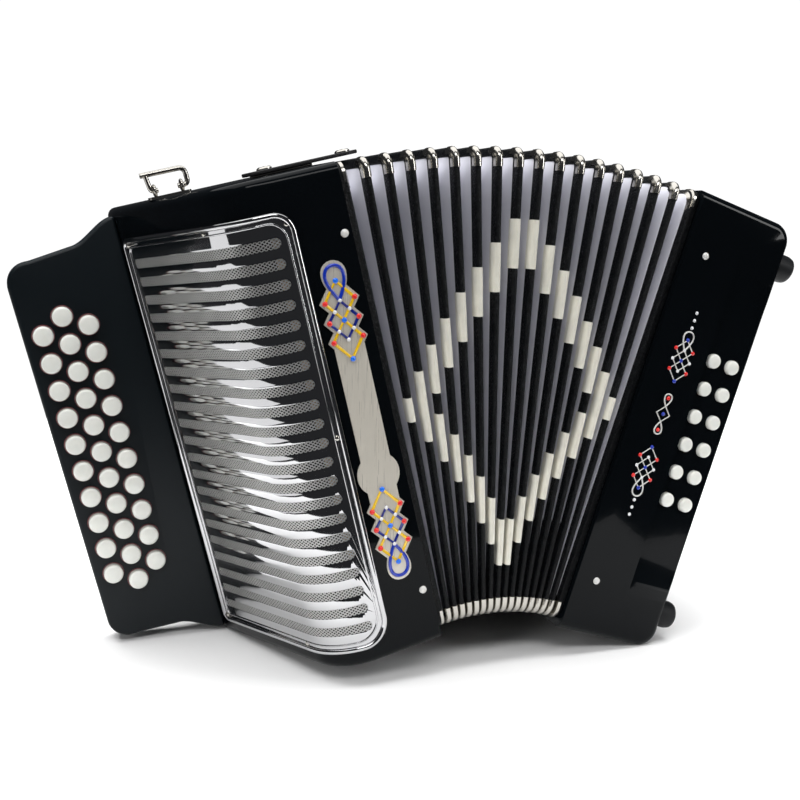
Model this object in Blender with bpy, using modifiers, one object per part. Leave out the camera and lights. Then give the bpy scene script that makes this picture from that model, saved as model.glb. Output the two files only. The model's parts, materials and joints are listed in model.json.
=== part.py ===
"""Diatonic button accordion, standing on its two ends with the bellows fanned open.

Each end box is drawn in its own frame, in millimetres: w runs across the box and is 0 on the
bellows side, y runs from the front (0) to the back, and u runs up the box. The treble box lies at
negative w, the bass box at positive w. Empties carry the two boxes and the middle of the bellows.
"""
import math

import bmesh
import bpy
import numpy as np
from mathutils import Matrix, Vector

MM = 0.001
GAP = 0.3                       # clearance between neighbouring solids

# Both end boxes
BODY_HEIGHT = 320.0
BODY_DEPTH = 190.0
WALL = 6.0
EDGE_ROUND = 6.0

# Treble box: a flat front, one large round corner, and a side that slants outwards to the board
TREBLE_FRONT_WIDTH = 72.0
TREBLE_SIDE_WIDTH = 123.4
TREBLE_CORNER_RADIUS = 38.0
TREBLE_BACK_RADIUS = 12.0
BOARD_FACE_Y = 131.0

# Grille over the window in the round corner
GRILLE_THICKNESS = 1.0
GRILLE_MARGIN = 12.0            # land of the grille on the casing round the window
GRILLE_RIGHT_W = -34.5
GRILLE_BACK_Y = 126.0
GRILLE_LOW_U = 12.0
GRILLE_HIGH_U = 299.0
SLOT_COUNT = 21
SLOT_PITCH = 12.65
SLOT_HEIGHT = 6.5
SLOT_LOW_U = 27.9
SLOT_BORDER = 11.0              # solid border between the slots and the grille's two upright edges

# Fingerboard
BOARD_THICKNESS = 24.0
BOARD_FRONT_PLATE = 5.0
BOARD_WALL = 3.0
BOARD_OUTER_W = -203.5
BOARD_ROOT_HALF_HEIGHT = 155.0
BOARD_TIP_HALF_HEIGHT = 138.0
BOARD_CORNER_RADIUS = 15.0

# Buttons
TREBLE_BUTTON_PITCH = 19.55
TREBLE_BUTTON_RADIUS = 6.75
TREBLE_BUTTON_PROUD = 5.8
TREBLE_BUTTON_LENGTH = 16.0
TREBLE_MIDDLE_W = -174.8
TREBLE_ROW_OFFSET = 15.4
TREBLE_TOP_RISE = 97.5          # the middle row's top button above the middle of the box
TREBLE_MIDDLE_COUNT = 11
BASS_BUTTON_PITCH = 20.8
BASS_BUTTON_RADIUS = 5.2
BASS_BUTTON_PROUD = 4.0
BASS_BUTTON_LENGTH = 12.0
BASS_COLUMN_W = (52.6, 69.3)
BASS_TOP_INSET = 108.1          # the top buttons below the top of the box
BASS_ROW_COUNT = 6
BUTTON_SIDES = 12
BUTTON_CHAMFER = 1.2

# Bass box
BASS_WIDTH = 81.7
BASS_CORNER_RADIUS = 14.0
BASS_FRONT_WALL = 9.0
RECESS_DEPTH = 3.5
RECESS_W = 45.0
RECESS_LOW_U = 66.0
RECESS_HIGH_U = 250.0
RECESS_RAMP = 36.0

# Hand strap, feet and air button on the bass end
STRAP_WIDTH = 42.0
STRAP_THICKNESS = 3.0
STRAP_RISE = 30.0
STRAP_Y = 95.0
STRAP_LOW_U = 52.0
STRAP_HIGH_U = 268.0
STRAP_TAB = 26.0
FOOT_RADIUS = 10.0
FOOT_HEIGHT = 14.5
FOOT_Y = 14.0
FOOT_U = (25.0, 293.0)
AIR_BUTTON_RADIUS = 7.0
AIR_BUTTON_PROUD = 7.0
AIR_BUTTON_LENGTH = 17.0
AIR_BUTTON_Y = 150.0
AIR_BUTTON_U = 236.0

# Bellows
FOLD_COUNT = 17
FAN_ANGLE = math.radians(32.0)
CLOSED_PITCH = 4.8
END_MARGIN = 4.1
RIDGE_WIDTH_LOW = 3.8
RIDGE_WIDTH_HIGH = 7.0
VALLEY_WIDTH = 1.0
FOLD_DEPTH = 20.0
BELLOWS_SKIN = 0.8
BELLOWS_INSET_Y = 4.0
BELLOWS_LOW_U = 5.0
BELLOWS_TOP_INSET = 1.0
BELLOWS_HIGH_U = BODY_HEIGHT - BELLOWS_TOP_INSET
BELLOWS_CORNER_RADIUS = 8.0
FRAME_BAR = 16.0                # width of the end frames' bars
FRAME_LIP = 1.0                 # how far an end frame reaches past its ridge's middle

# Reed blocks, each with the board that carries it
SOUNDBOARD_THICKNESS = 5.0
SOUNDBOARD_W = 9.0              # distance of the board's outer face from the bellows side
REED_BLOCK_RISE = 30.0
REED_BLOCK_THICKNESS = 22.0
REED_BLOCK_CLEAR = 45.0         # distance of the blocks from the box's top, bottom, front and back

# Strap bail and the strap that holds the bellows shut
BAIL_Y = 90.0
BAIL_LEFT_W = -98.0
BAIL_RIGHT_W = -80.0
BAIL_WIRE_RADIUS = 1.75
BAIL_RISE = 14.0
BAIL_OVERHANG = 14.0
BAIL_PLATE_THICKNESS = 1.6
BAIL_AXLE_HEIGHT = 5.2
EYE_RADIUS = 4.0
EYE_WIDTH = 3.0
LATCH_Y = 50.0
LATCH_WIDTH = 20.0
LATCH_LOW_W = -47.0
LATCH_HIGH_W = 29.0
LATCH_THICKNESS = 2.4
LATCH_SNAP_RADIUS = 5.0
LATCH_SNAP_HEIGHT = 3.2

ARC_STEP = math.radians(15.0)
FOLD_ARC_STEP = math.radians(45.0)

AXES = {
    "w": (Vector((0, 1, 0)), Vector((0, 0, 1)), Vector((1, 0, 0))),
    "y": (Vector((1, 0, 0)), Vector((0, 0, 1)), Vector((0, 1, 0))),
    "u": (Vector((1, 0, 0)), Vector((0, 1, 0)), Vector((0, 0, 1))),
}


# ---------------------------------------------------------------- scene, materials and placing

def clear_scene():
    for leftover in list(bpy.data.objects):
        bpy.data.objects.remove(leftover, do_unlink=True)


def new_collection(name):
    collection = bpy.data.collections.new(name)
    bpy.context.scene.collection.children.link(collection)
    return collection


def material(name, colour, roughness, metallic=0.0):
    finish = bpy.data.materials.new(name)
    finish.use_nodes = True
    shader = finish.node_tree.nodes["Principled BSDF"]
    shader.inputs["Base Color"].default_value = (*colour, 1.0)
    shader.inputs["Roughness"].default_value = roughness
    shader.inputs["Metallic"].default_value = metallic
    finish.diffuse_color = (*colour, 1.0)
    return finish


def place(piece, parent, local=None):
    piece.parent = parent
    piece.matrix_local = local if local else Matrix.Identity(4)


def new_empty(name, parent=None, local=None):
    empty = bpy.data.objects.new(name, None)
    pieces.objects.link(empty)
    if parent:
        place(empty, parent, local)
    return empty


def to_object(name, shape, finish=None, parent=None, local=None):
    """Turns a bmesh drawn in millimetres into an object, in metres."""
    shape.normal_update()
    bmesh.ops.recalc_face_normals(shape, faces=shape.faces[:])
    bmesh.ops.scale(shape, vec=(MM, MM, MM), verts=shape.verts[:])
    mesh = bpy.data.meshes.new(name)
    shape.to_mesh(mesh)
    shape.free()
    piece = bpy.data.objects.new(name, mesh)
    if finish:
        mesh.materials.append(finish)
        pieces.objects.link(piece)
    else:
        cutters.objects.link(piece)
        piece.hide_render = True
        piece.display_type = "WIRE"
    place(piece, parent, local)
    return piece


def offset(w=0.0, y=0.0, u=0.0):
    return Matrix.Translation(Vector((w, y, u)) * MM)


# ---------------------------------------------------------------- outlines and solids

def filleted(corners, arc_step=ARC_STEP):
    """Points of a closed outline whose corners are (x, y, radius)."""
    points = []
    count = len(corners)
    for index, (x, y, radius) in enumerate(corners):
        here = Vector((x, y))
        if radius <= 0:
            points.append(here)
            continue
        back = (Vector(corners[index - 1][:2]) - here).normalized()
        ahead = (Vector(corners[(index + 1) % count][:2]) - here).normalized()
        half = back.angle(ahead) / 2
        centre = here + (back + ahead).normalized() * radius / math.sin(half)
        start = here + back * radius / math.tan(half) - centre
        finish = here + ahead * radius / math.tan(half) - centre
        sweep = -start.angle_signed(finish)
        steps = max(2, math.ceil(abs(sweep) / arc_step))
        for step in range(steps + 1):
            points.append(centre + Matrix.Rotation(sweep * step / steps, 2) @ start)
    return points


def inset_corners(corners, inset):
    """Moves every side of a convex outline inwards and shrinks its corner radii to match."""
    count = len(corners)
    middle = sum((Vector(corner[:2]) for corner in corners), Vector((0, 0))) / count
    sides = []
    for index in range(count):
        start = Vector(corners[index][:2])
        along = (Vector(corners[(index + 1) % count][:2]) - start).normalized()
        inward = Vector((-along.y, along.x))
        if inward.dot(middle - start) < 0:
            inward = -inward
        sides.append((start + inward * inset, along))
    moved = []
    for index in range(count):
        (start, along), (other, across) = sides[index - 1], sides[index]
        reach = (other - start).cross(across) / along.cross(across)
        point = start + along * reach
        radius = corners[index][2]
        moved.append((point.x, point.y, max(radius - inset, 0.0)))
    return moved


def prism(points, axis, low, high, shape=None):
    """Extrudes a flat outline along an axis. w: (y, u) points, y: (w, u) points, u: (w, y) points."""
    shape = shape or bmesh.new()
    first, second, along = AXES[axis]
    corners = [shape.verts.new(first * p[0] + second * p[1] + along * low) for p in points]
    face = shape.faces.new(corners)
    grown = bmesh.ops.extrude_face_region(shape, geom=[face])
    moved = [item for item in grown["geom"] if isinstance(item, bmesh.types.BMVert)]
    bmesh.ops.translate(shape, vec=along * (high - low), verts=moved)
    return shape


def box_points(low, high):
    return [(low[0], low[1]), (high[0], low[1]), (high[0], high[1]), (low[0], high[1])]


def cylinder(shape, radius, low, high, centre, axis, sides):
    """Adds a closed cylinder. centre holds the two coordinates across the axis, as in prism."""
    first, second, along = AXES[axis]
    turn = Matrix((first, second, along)).transposed().to_4x4()
    middle = first * centre[0] + second * centre[1] + along * (low + high) / 2
    bmesh.ops.create_cone(
        shape, cap_ends=True, segments=sides, radius1=radius, radius2=radius,
        depth=high - low, matrix=Matrix.Translation(middle) @ turn)


def cut(piece, cutter, operation="DIFFERENCE"):
    boolean = piece.modifiers.new(cutter.name, "BOOLEAN")
    boolean.object = cutter
    boolean.operation = operation


def round_edges(piece, width, segments=2, angle=50.0):
    bevel = piece.modifiers.new("rounded_edges", "BEVEL")
    bevel.width = width * MM
    bevel.segments = segments
    bevel.limit_method = "ANGLE"
    bevel.angle_limit = math.radians(angle)


def smooth(piece, angle=35.0):
    piece.data.shade_smooth()
    piece.data.set_sharp_from_angle(angle=math.radians(angle))


def as_mesh(curve_object):
    """Replaces a curve object by a mesh object whose caps are welded on."""
    graph = bpy.context.evaluated_depsgraph_get()
    mesh = bpy.data.meshes.new_from_object(curve_object.evaluated_get(graph))
    shape = bmesh.new()
    shape.from_mesh(mesh)
    bmesh.ops.remove_doubles(shape, verts=shape.verts[:], dist=1e-6)
    bmesh.ops.scale(shape, vec=(1 / MM,) * 3, verts=shape.verts[:])
    bpy.data.objects.remove(curve_object, do_unlink=True)
    return shape


def wire(points, radius, resolution=2):
    """A round wire through a list of points in millimetres, as a bmesh in millimetres."""
    curve = bpy.data.curves.new("wire", "CURVE")
    curve.dimensions = "3D"
    curve.bevel_depth = radius * MM
    curve.bevel_resolution = resolution
    curve.use_fill_caps = True
    spline = curve.splines.new("POLY")
    spline.points.add(len(points) - 1)
    for knot, point in zip(spline.points, points):
        knot.co = (*(Vector(point) * MM), 1.0)
    carrier = bpy.data.objects.new("wire", curve)
    cutters.objects.link(carrier)
    return as_mesh(carrier)


# ---------------------------------------------------------------- bellows geometry

def turned(angle):
    return Matrix.Rotation(angle, 4, "Y")


def bellows_pose(station):
    """Frame of ridge number station, or of the valley between two ridges, in treble coordinates."""
    fold = FAN_ANGLE / FOLD_COUNT
    half_pitch = Matrix.Translation((CLOSED_PITCH / 2, 0, 0))
    pose = Matrix.Translation((END_MARGIN, 0, 0))
    for _ in range(int(station)):
        pose = pose @ half_pitch @ turned(fold) @ half_pitch
    if station % 1:
        pose = pose @ half_pitch @ turned(fold / 2)
    return pose


def bass_pose():
    return bellows_pose(FOLD_COUNT) @ Matrix.Translation((END_MARGIN, 0, 0))


def half_fan_pole(opened, closed_width):
    """The point, in the first box's frame, about which half the fan turns between shut and open."""
    turn = np.array([[math.cos(FAN_ANGLE / 2), -math.sin(FAN_ANGLE / 2)],
                     [math.sin(FAN_ANGLE / 2), math.cos(FAN_ANGLE / 2)]])
    open_at = np.array([opened.translation.x, opened.translation.z])
    shut_at = np.array([closed_width, 0.0])
    w, u = np.linalg.solve(np.eye(2) - turn, shut_at - turn @ open_at)
    return Vector((w, 0.0, u))


def ring(depth, half_width, side):
    """One closed loop round the bellows, in its station's frame; side is -1 left or +1 right."""
    low_y = BELLOWS_INSET_Y + depth
    high_y = BODY_DEPTH - BELLOWS_INSET_Y - depth
    low_u = BELLOWS_LOW_U + depth
    high_u = BELLOWS_HIGH_U - depth
    radius = BELLOWS_CORNER_RADIUS
    loop = filleted([(low_y, low_u, radius), (high_y, low_u, radius),
                     (high_y, high_u, radius), (low_y, high_u, radius)], FOLD_ARC_STEP)
    return [Vector((side * half_width(u), y, u)) for y, u in loop]


def ridge_half_width(u):
    share = (u - BELLOWS_LOW_U) / (BELLOWS_HIGH_U - BELLOWS_LOW_U)
    return (RIDGE_WIDTH_LOW + (RIDGE_WIDTH_HIGH - RIDGE_WIDTH_LOW) * share) / 2


def bellows_loops(first, last):
    """Loops from one station to another, in treble coordinates, clear of what they meet there."""
    loops = []
    for half_step in range(int(2 * first), int(2 * last) + 1):
        station = half_step / 2
        is_valley = half_step % 2 == 1
        depth = FOLD_DEPTH if is_valley else 0.0
        pose = bellows_pose(station)
        for side in (-1, 1):
            starts, ends = station == first, station == last
            if (starts and side < 0) or (ends and side > 0):
                continue
            if starts or ends:
                seam = GAP / 2 if is_valley else FRAME_LIP + BELLOWS_SKIN + GAP
                half_width = lambda _, seam=seam: seam
            elif is_valley:
                half_width = lambda _: VALLEY_WIDTH / 2
            else:
                half_width = ridge_half_width
            loops.append([pose @ point for point in ring(depth, half_width, side)])
    return loops


def loft(loops):
    """Skins a row of loops that have the same number of points."""
    shape = bmesh.new()
    rows = [[shape.verts.new(point) for point in loop] for loop in loops]
    count = len(rows[0])
    for near, far in zip(rows, rows[1:]):
        for index in range(count):
            after = (index + 1) % count
            shape.faces.new((near[index], near[after], far[after], far[index]))
    return shape


# ---------------------------------------------------------------- treble box

def treble_corners():
    """Plan of the treble box in (w, y), with room past the bellows side for trimming."""
    return [(20, 0, 0), (-TREBLE_FRONT_WIDTH, 0, TREBLE_CORNER_RADIUS),
            (-TREBLE_SIDE_WIDTH, BOARD_FACE_Y, 0),
            (-TREBLE_SIDE_WIDTH, BODY_DEPTH, TREBLE_BACK_RADIUS), (20, BODY_DEPTH, 0)]


def side_w(y):
    """w of the treble box's slanted side at a depth y in front of the board."""
    slope = (TREBLE_SIDE_WIDTH - TREBLE_FRONT_WIDTH) / BOARD_FACE_Y
    return -TREBLE_FRONT_WIDTH - slope * y


def build_treble_casing(parent):
    corners = treble_corners()
    casing = to_object("treble_casing", prism(filleted(corners), "u", 0, BODY_HEIGHT),
                       gloss_black, parent)
    round_edges(casing, EDGE_ROUND)
    inner = prism(filleted(inset_corners(corners, WALL)), "u", WALL, BODY_HEIGHT - WALL)
    cut(casing, to_object("treble_hollow", inner, parent=parent))
    beyond = box_points((0, -20), (60, BODY_DEPTH + 20))
    cut(casing, to_object("treble_trim", prism(beyond, "u", -20, BODY_HEIGHT + 20), parent=parent))
    right = GRILLE_RIGHT_W - GRILLE_MARGIN + 2
    back = GRILLE_BACK_Y - GRILLE_MARGIN + 4
    reach = TREBLE_SIDE_WIDTH + 30
    window = [(right, -20), (right, 20), (-TREBLE_FRONT_WIDTH, 34), (side_w(back) + 20, back),
              (-reach, back), (-reach, -20)]
    opening = prism(window, "u", GRILLE_LOW_U + GRILLE_MARGIN - 2, GRILLE_HIGH_U - GRILLE_MARGIN + 2)
    cut(casing, to_object("treble_window", opening, parent=parent))
    smooth(casing)
    return casing


def grille_path():
    """Columns of the grille in (w, y), from its front edge round the corner to its back edge."""
    stand_off = GAP
    outline = inset_corners(treble_corners(), -stand_off)
    outline[1] = (*outline[1][:2], TREBLE_CORNER_RADIUS + stand_off)
    arc = filleted(outline)[1:-1]
    curve = [point for point in arc if 0 > point.x > -TREBLE_SIDE_WIDTH and point.y < BOARD_FACE_Y - 5]
    front_y = -stand_off

    def on_side(y):
        start, finish = Vector(outline[1][:2]), Vector(outline[2][:2])
        return start + (finish - start) * (y - start.y) / (finish.y - start.y)

    slot_right = Vector((GRILLE_RIGHT_W - SLOT_BORDER, front_y))
    slot_left = on_side(GRILLE_BACK_Y - SLOT_BORDER)
    path = [Vector((GRILLE_RIGHT_W, front_y)), slot_right]
    path += [point for point in curve if slot_right.x > point.x and point.y < slot_left.y]
    path += [slot_left, on_side(GRILLE_BACK_Y)]
    return path


def build_grille(parent):
    path = grille_path()
    levels = [GRILLE_LOW_U]
    for index in range(SLOT_COUNT):
        centre = SLOT_LOW_U + SLOT_PITCH * index
        levels += [centre - SLOT_HEIGHT / 2, centre + SLOT_HEIGHT / 2]
    levels.append(GRILLE_HIGH_U)
    shape = bmesh.new()
    rows = [[shape.verts.new((p.x, p.y, u)) for p in path] for u in levels]
    for row in range(len(levels) - 1):
        for column in range(len(path) - 1):
            in_slot = row % 2 == 1 and 0 < column < len(path) - 2
            if not in_slot:
                shape.faces.new((rows[row][column], rows[row][column + 1],
                                 rows[row + 1][column + 1], rows[row + 1][column]))
    grille = to_object("grille", shape, chrome, parent)
    grille.data.flip_normals()
    outward = sum((face.normal.y for face in grille.data.polygons)) < 0
    wall = grille.modifiers.new("sheet", "SOLIDIFY")
    wall.thickness = GRILLE_THICKNESS * MM
    wall.offset = 1.0 if outward else -1.0
    smooth(grille)
    return grille


def board_half_height(w):
    """Half the fingerboard's height at w: full at its root, easing down to the tip."""
    root = -TREBLE_SIDE_WIDTH - GAP
    shoulder = -157.0
    if w < shoulder:
        share = (w - shoulder) / (-185.0 - shoulder)
        return BOARD_TIP_HALF_HEIGHT + 3 * (1 - min(share, 1))
    share = (root - w) / (root - shoulder)
    ease = share * share * (3 - 2 * share)
    return BOARD_ROOT_HALF_HEIGHT + (BOARD_TIP_HALF_HEIGHT + 3 - BOARD_ROOT_HALF_HEIGHT) * ease


def board_outline(inset=0.0):
    """Outline of the fingerboard in (w, u)."""
    middle = BODY_HEIGHT / 2
    root = -TREBLE_SIDE_WIDTH - GAP - inset
    tip = BOARD_OUTER_W + inset
    edge = [(root + (-157.0 - root) * step / 6) for step in range(7)] + [-185.0]
    upper = [(w, middle + board_half_height(w) - inset) for w in edge]
    radius = BOARD_CORNER_RADIUS - inset
    half = BOARD_TIP_HALF_HEIGHT - inset
    corner = [(tip + radius - radius * math.sin(math.radians(90) * step / 5),
               middle + half - radius + radius * math.cos(math.radians(90) * step / 5))
              for step in range(6)]
    upper += [point for point in corner if point[0] < -185.5]
    lower = [(w, 2 * middle - u) for w, u in reversed(upper)]
    return upper + lower


def treble_buttons():
    """Names and centres (w, u) of the treble buttons, row by row from the board's outer edge."""
    rows = (("outer", -TREBLE_ROW_OFFSET, 0.5, TREBLE_MIDDLE_COUNT - 1),
            ("middle", 0.0, 0.0, TREBLE_MIDDLE_COUNT),
            ("inner", TREBLE_ROW_OFFSET, 0.5, TREBLE_MIDDLE_COUNT - 1))
    for row, shift, half_step, count in rows:
        for index in range(count):
            u = BODY_HEIGHT / 2 + TREBLE_TOP_RISE - TREBLE_BUTTON_PITCH * (index + half_step)
            yield f"treble_button_{row}_{index + 1:02d}", TREBLE_MIDDLE_W + shift, u


def bass_buttons():
    for column, w in zip(("inner", "outer"), BASS_COLUMN_W):
        for index in range(BASS_ROW_COUNT):
            u = BODY_HEIGHT - BASS_TOP_INSET - BASS_BUTTON_PITCH * index
            yield f"bass_button_{column}_{index + 1:02d}", w, u


def bore_radius(button_radius):
    """Radius of a faceted bore whose flats clear the button's corners."""
    return (button_radius + GAP) / math.cos(math.pi / BUTTON_SIDES)


def build_fingerboard(parent):
    back_y = BOARD_FACE_Y + BOARD_THICKNESS
    board = to_object("fingerboard", prism(board_outline(), "y", BOARD_FACE_Y, back_y),
                      satin_black, parent)
    round_edges(board, 2.0, segments=1)
    hollow = prism(board_outline(BOARD_WALL), "y", BOARD_FACE_Y + BOARD_FRONT_PLATE, back_y - BOARD_WALL)
    cut(board, to_object("board_hollow", hollow, parent=parent))
    bores = bmesh.new()
    for _, w, u in treble_buttons():
        cylinder(bores, bore_radius(TREBLE_BUTTON_RADIUS), BOARD_FACE_Y - 10,
                 BOARD_FACE_Y + BOARD_FRONT_PLATE + 2, (w, u), "y", BUTTON_SIDES)
    cut(board, to_object("board_bores", bores, parent=parent))
    return board


def button_shape(radius, length):
    """A flat button with a chamfered top; its top is at y = 0 and its stem runs towards +y."""
    profile = [(0, length), (radius, length), (radius, BUTTON_CHAMFER),
               (radius - BUTTON_CHAMFER, 0), (0, 0)]
    shape = bmesh.new()
    rings = []
    for reach, y in profile[1:-1]:
        rings.append([shape.verts.new((reach * math.cos(a), y, reach * math.sin(a)))
                      for a in (2 * math.pi * (k + 0.5) / BUTTON_SIDES for k in range(BUTTON_SIDES))])
    for near, far in zip(rings, rings[1:]):
        for k in range(BUTTON_SIDES):
            after = (k + 1) % BUTTON_SIDES
            shape.faces.new((near[k], near[after], far[after], far[k]))
    shape.faces.new(rings[0])
    shape.faces.new(rings[-1])
    return shape


def build_button(name, w, top_y, u, shape, finish, parent):
    button = to_object(name, shape, finish, parent, offset(w, top_y, u))
    smooth(button)
    return button


def soundboard(low_w, high_w, block_low, block_high, hollow_low, hollow_high, finish, name, parent):
    """A thin board across the box with two reed blocks standing on it."""
    board = prism(box_points((hollow_low[0], hollow_low[1]), (hollow_high[0], hollow_high[1])),
                  "w", low_w, high_w)
    piece = to_object(name, board, finish, parent)
    blocks = bmesh.new()
    for share in (0.3, 0.7):
        middle = hollow_low[0] + (hollow_high[0] - hollow_low[0]) * share
        low = (middle - REED_BLOCK_THICKNESS / 2, hollow_low[1] + REED_BLOCK_CLEAR)
        high = (middle + REED_BLOCK_THICKNESS / 2, hollow_high[1] - REED_BLOCK_CLEAR)
        prism(box_points(low, high), "w", block_low, block_high, blocks)
    cut(piece, to_object(name + "_blocks", blocks, parent=parent), "UNION")
    return piece


def build_treble_reed_block(parent):
    low = (WALL + GAP, WALL + GAP)
    high = (BODY_DEPTH - WALL - GAP, BODY_HEIGHT - WALL - GAP)
    board_low = -SOUNDBOARD_W
    board_high = -SOUNDBOARD_W + SOUNDBOARD_THICKNESS
    soundboard(board_low, board_high, board_high - 1, board_high + REED_BLOCK_RISE,
               low, high, reed_wood, "treble_reed_block", parent)


def build_end_frame(name, pose, outward, parent, finish):
    """The stiff ridge at each end of the bellows, which is pinned to the box."""
    ridge = [Vector((p.y, p.z)) for p in ring(0.0, ridge_half_width, 1)]
    low, high = (GAP - END_MARGIN, FRAME_LIP) if outward < 0 else (-FRAME_LIP, END_MARGIN - GAP)
    shape = prism(ridge, "w", low, high)
    frame = to_object(name, shape, finish, parent, scaled(pose))
    front = BELLOWS_INSET_Y + FRAME_BAR
    inner = box_points((front, BELLOWS_LOW_U + FRAME_BAR),
                       (BODY_DEPTH - front, BELLOWS_HIGH_U - FRAME_BAR))
    cut(frame, to_object(name + "_hole", prism(inner, "w", -20, 20), parent=parent, local=scaled(pose)))
    return frame


def scaled(pose):
    """The same placement with its shift in metres."""
    local = pose.copy()
    local.translation = pose.translation * MM
    return local


def build_bellows_half(name, first, last, parent, shift):
    shape = loft(bellows_loops(first, last))
    bmesh.ops.translate(shape, vec=-shift, verts=shape.verts[:])
    half = to_object(name, shape, bellows_card, parent)
    skin = half.modifiers.new("skin", "SOLIDIFY")
    skin.thickness = BELLOWS_SKIN * MM
    skin.offset = -1.0
    return half


# ---------------------------------------------------------------- bass box

def build_bass_casing(parent):
    corner = BASS_CORNER_RADIUS
    outline = filleted([(-20, 0, 0), (BASS_WIDTH, 0, corner),
                        (BASS_WIDTH, BODY_HEIGHT, corner), (-20, BODY_HEIGHT, 0)])
    casing = to_object("bass_casing", prism(outline, "y", 0, BODY_DEPTH), gloss_black, parent)
    round_edges(casing, EDGE_ROUND)
    hollow = filleted([(-30, WALL, 0), (BASS_WIDTH - WALL, WALL, corner - WALL),
                       (BASS_WIDTH - WALL, BODY_HEIGHT - WALL, corner - WALL),
                       (-30, BODY_HEIGHT - WALL, 0)])
    cut(casing, to_object("bass_hollow", prism(hollow, "y", BASS_FRONT_WALL, BODY_DEPTH - WALL),
                          parent=parent))
    beyond = box_points((-60, -20), (0, BODY_DEPTH + 20))
    cut(casing, to_object("bass_trim", prism(beyond, "u", -20, BODY_HEIGHT + 20), parent=parent))
    cut(casing, to_object("bass_recess", prism(recess_profile(), "w", RECESS_W, BASS_WIDTH + 20),
                          parent=parent))
    bores = bmesh.new()
    for _, w, u in bass_buttons():
        cylinder(bores, bore_radius(BASS_BUTTON_RADIUS), -5, BASS_FRONT_WALL + 2, (w, u), "y",
                 BUTTON_SIDES)
    cylinder(bores, bore_radius(AIR_BUTTON_RADIUS), BASS_WIDTH - WALL - 2, BASS_WIDTH + 5,
             (AIR_BUTTON_Y, AIR_BUTTON_U), "w", BUTTON_SIDES)
    cut(casing, to_object("bass_bores", bores, parent=parent))
    smooth(casing)
    return casing


def recess_profile():
    """Outline in (y, u) of the shallow recess, whose ends ramp out in an S curve."""
    steps = 5
    ramp = []
    for step in range(steps + 1):
        share = step / steps
        ease = share * share * (3 - 2 * share)
        ramp.append((RECESS_DEPTH * ease, share))
    lower = [(y, RECESS_LOW_U - RECESS_RAMP * (1 - share)) for y, share in ramp]
    upper = [(y, RECESS_HIGH_U + (RECESS_RAMP + 6) * (1 - share)) for y, share in reversed(ramp)]
    return ([(-8, RECESS_LOW_U - RECESS_RAMP)] + lower + upper
            + [(-8, RECESS_HIGH_U + RECESS_RAMP + 6)])


def build_bass_reed_block(parent):
    low = (BASS_FRONT_WALL + GAP, WALL + GAP)
    high = (BODY_DEPTH - WALL - GAP, BODY_HEIGHT - WALL - GAP)
    board_high = SOUNDBOARD_W
    board_low = SOUNDBOARD_W - SOUNDBOARD_THICKNESS
    soundboard(board_low, board_high, board_low - REED_BLOCK_RISE, board_low + 1,
               low, high, reed_wood, "bass_reed_block", parent)


def build_hand_strap(parent):
    """A leather strap that arches over the bass end, flat at its two riveted tabs."""
    steps = 14
    face = BASS_WIDTH + GAP
    points = [(face, STRAP_LOW_U - STRAP_TAB)]
    for step in range(steps + 1):
        share = step / steps
        rise = STRAP_RISE * math.sin(math.pi * share) ** 0.8
        points.append((face + rise, STRAP_LOW_U + (STRAP_HIGH_U - STRAP_LOW_U) * share))
    points.append((face, STRAP_HIGH_U + STRAP_TAB))
    shape = bmesh.new()
    low_y, high_y = STRAP_Y - STRAP_WIDTH / 2, STRAP_Y + STRAP_WIDTH / 2
    front = [shape.verts.new((w, low_y, u)) for w, u in points]
    back = [shape.verts.new((w, high_y, u)) for w, u in points]
    for index in range(len(points) - 1):
        shape.faces.new((front[index], front[index + 1], back[index + 1], back[index]))
    strap = to_object("bass_strap", shape, leather, parent)
    outward = sum(face.normal.x for face in strap.data.polygons) > 0
    wall = strap.modifiers.new("leather", "SOLIDIFY")
    wall.thickness = STRAP_THICKNESS * MM
    wall.offset = 1.0 if outward else -1.0
    smooth(strap)
    return strap


def build_foot(name, u, parent):
    shape = bmesh.new()
    low = BASS_WIDTH + GAP
    cylinder(shape, FOOT_RADIUS, low, low + FOOT_HEIGHT, (FOOT_Y, u), "w", BUTTON_SIDES)
    foot = to_object(name, shape, foot_rubber, parent)
    round_edges(foot, 2.5, segments=2)
    smooth(foot)
    return foot


# ---------------------------------------------------------------- top of the treble box

def build_bail_bracket(parent):
    """A thin plate with two bored lugs that carry the bail's ends."""
    top = BODY_HEIGHT + GAP
    axle_u = top + BAIL_AXLE_HEIGHT
    left = BAIL_LEFT_W - EYE_WIDTH - 2
    right = BAIL_RIGHT_W + EYE_WIDTH + 2
    plate = prism(box_points((left, BAIL_Y - 6), (right, BAIL_Y + 6)), "u", top,
                  top + BAIL_PLATE_THICKNESS)
    bracket = to_object("strap_bail_bracket", plate, nickel, parent)
    lugs = bmesh.new()
    for w in (BAIL_LEFT_W, BAIL_RIGHT_W):
        profile = [(BAIL_Y - EYE_RADIUS, top + 0.5), (BAIL_Y + EYE_RADIUS, top + 0.5)]
        profile += [(BAIL_Y + EYE_RADIUS * math.cos(a), axle_u + EYE_RADIUS * math.sin(a))
                    for a in (math.pi * k / 8 for k in range(9))]
        prism(profile, "w", w - EYE_WIDTH / 2, w + EYE_WIDTH / 2, lugs)
    cut(bracket, to_object("bail_lugs", lugs, parent=parent), "UNION")
    bores = bmesh.new()
    for w in (BAIL_LEFT_W, BAIL_RIGHT_W):
        cylinder(bores, (BAIL_WIRE_RADIUS + GAP) / math.cos(math.pi / BUTTON_SIDES), w - 5, w + 5,
                 (BAIL_Y, axle_u), "w", BUTTON_SIDES)
    cut(bracket, to_object("bail_bores", bores, parent=parent))
    return bracket


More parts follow.
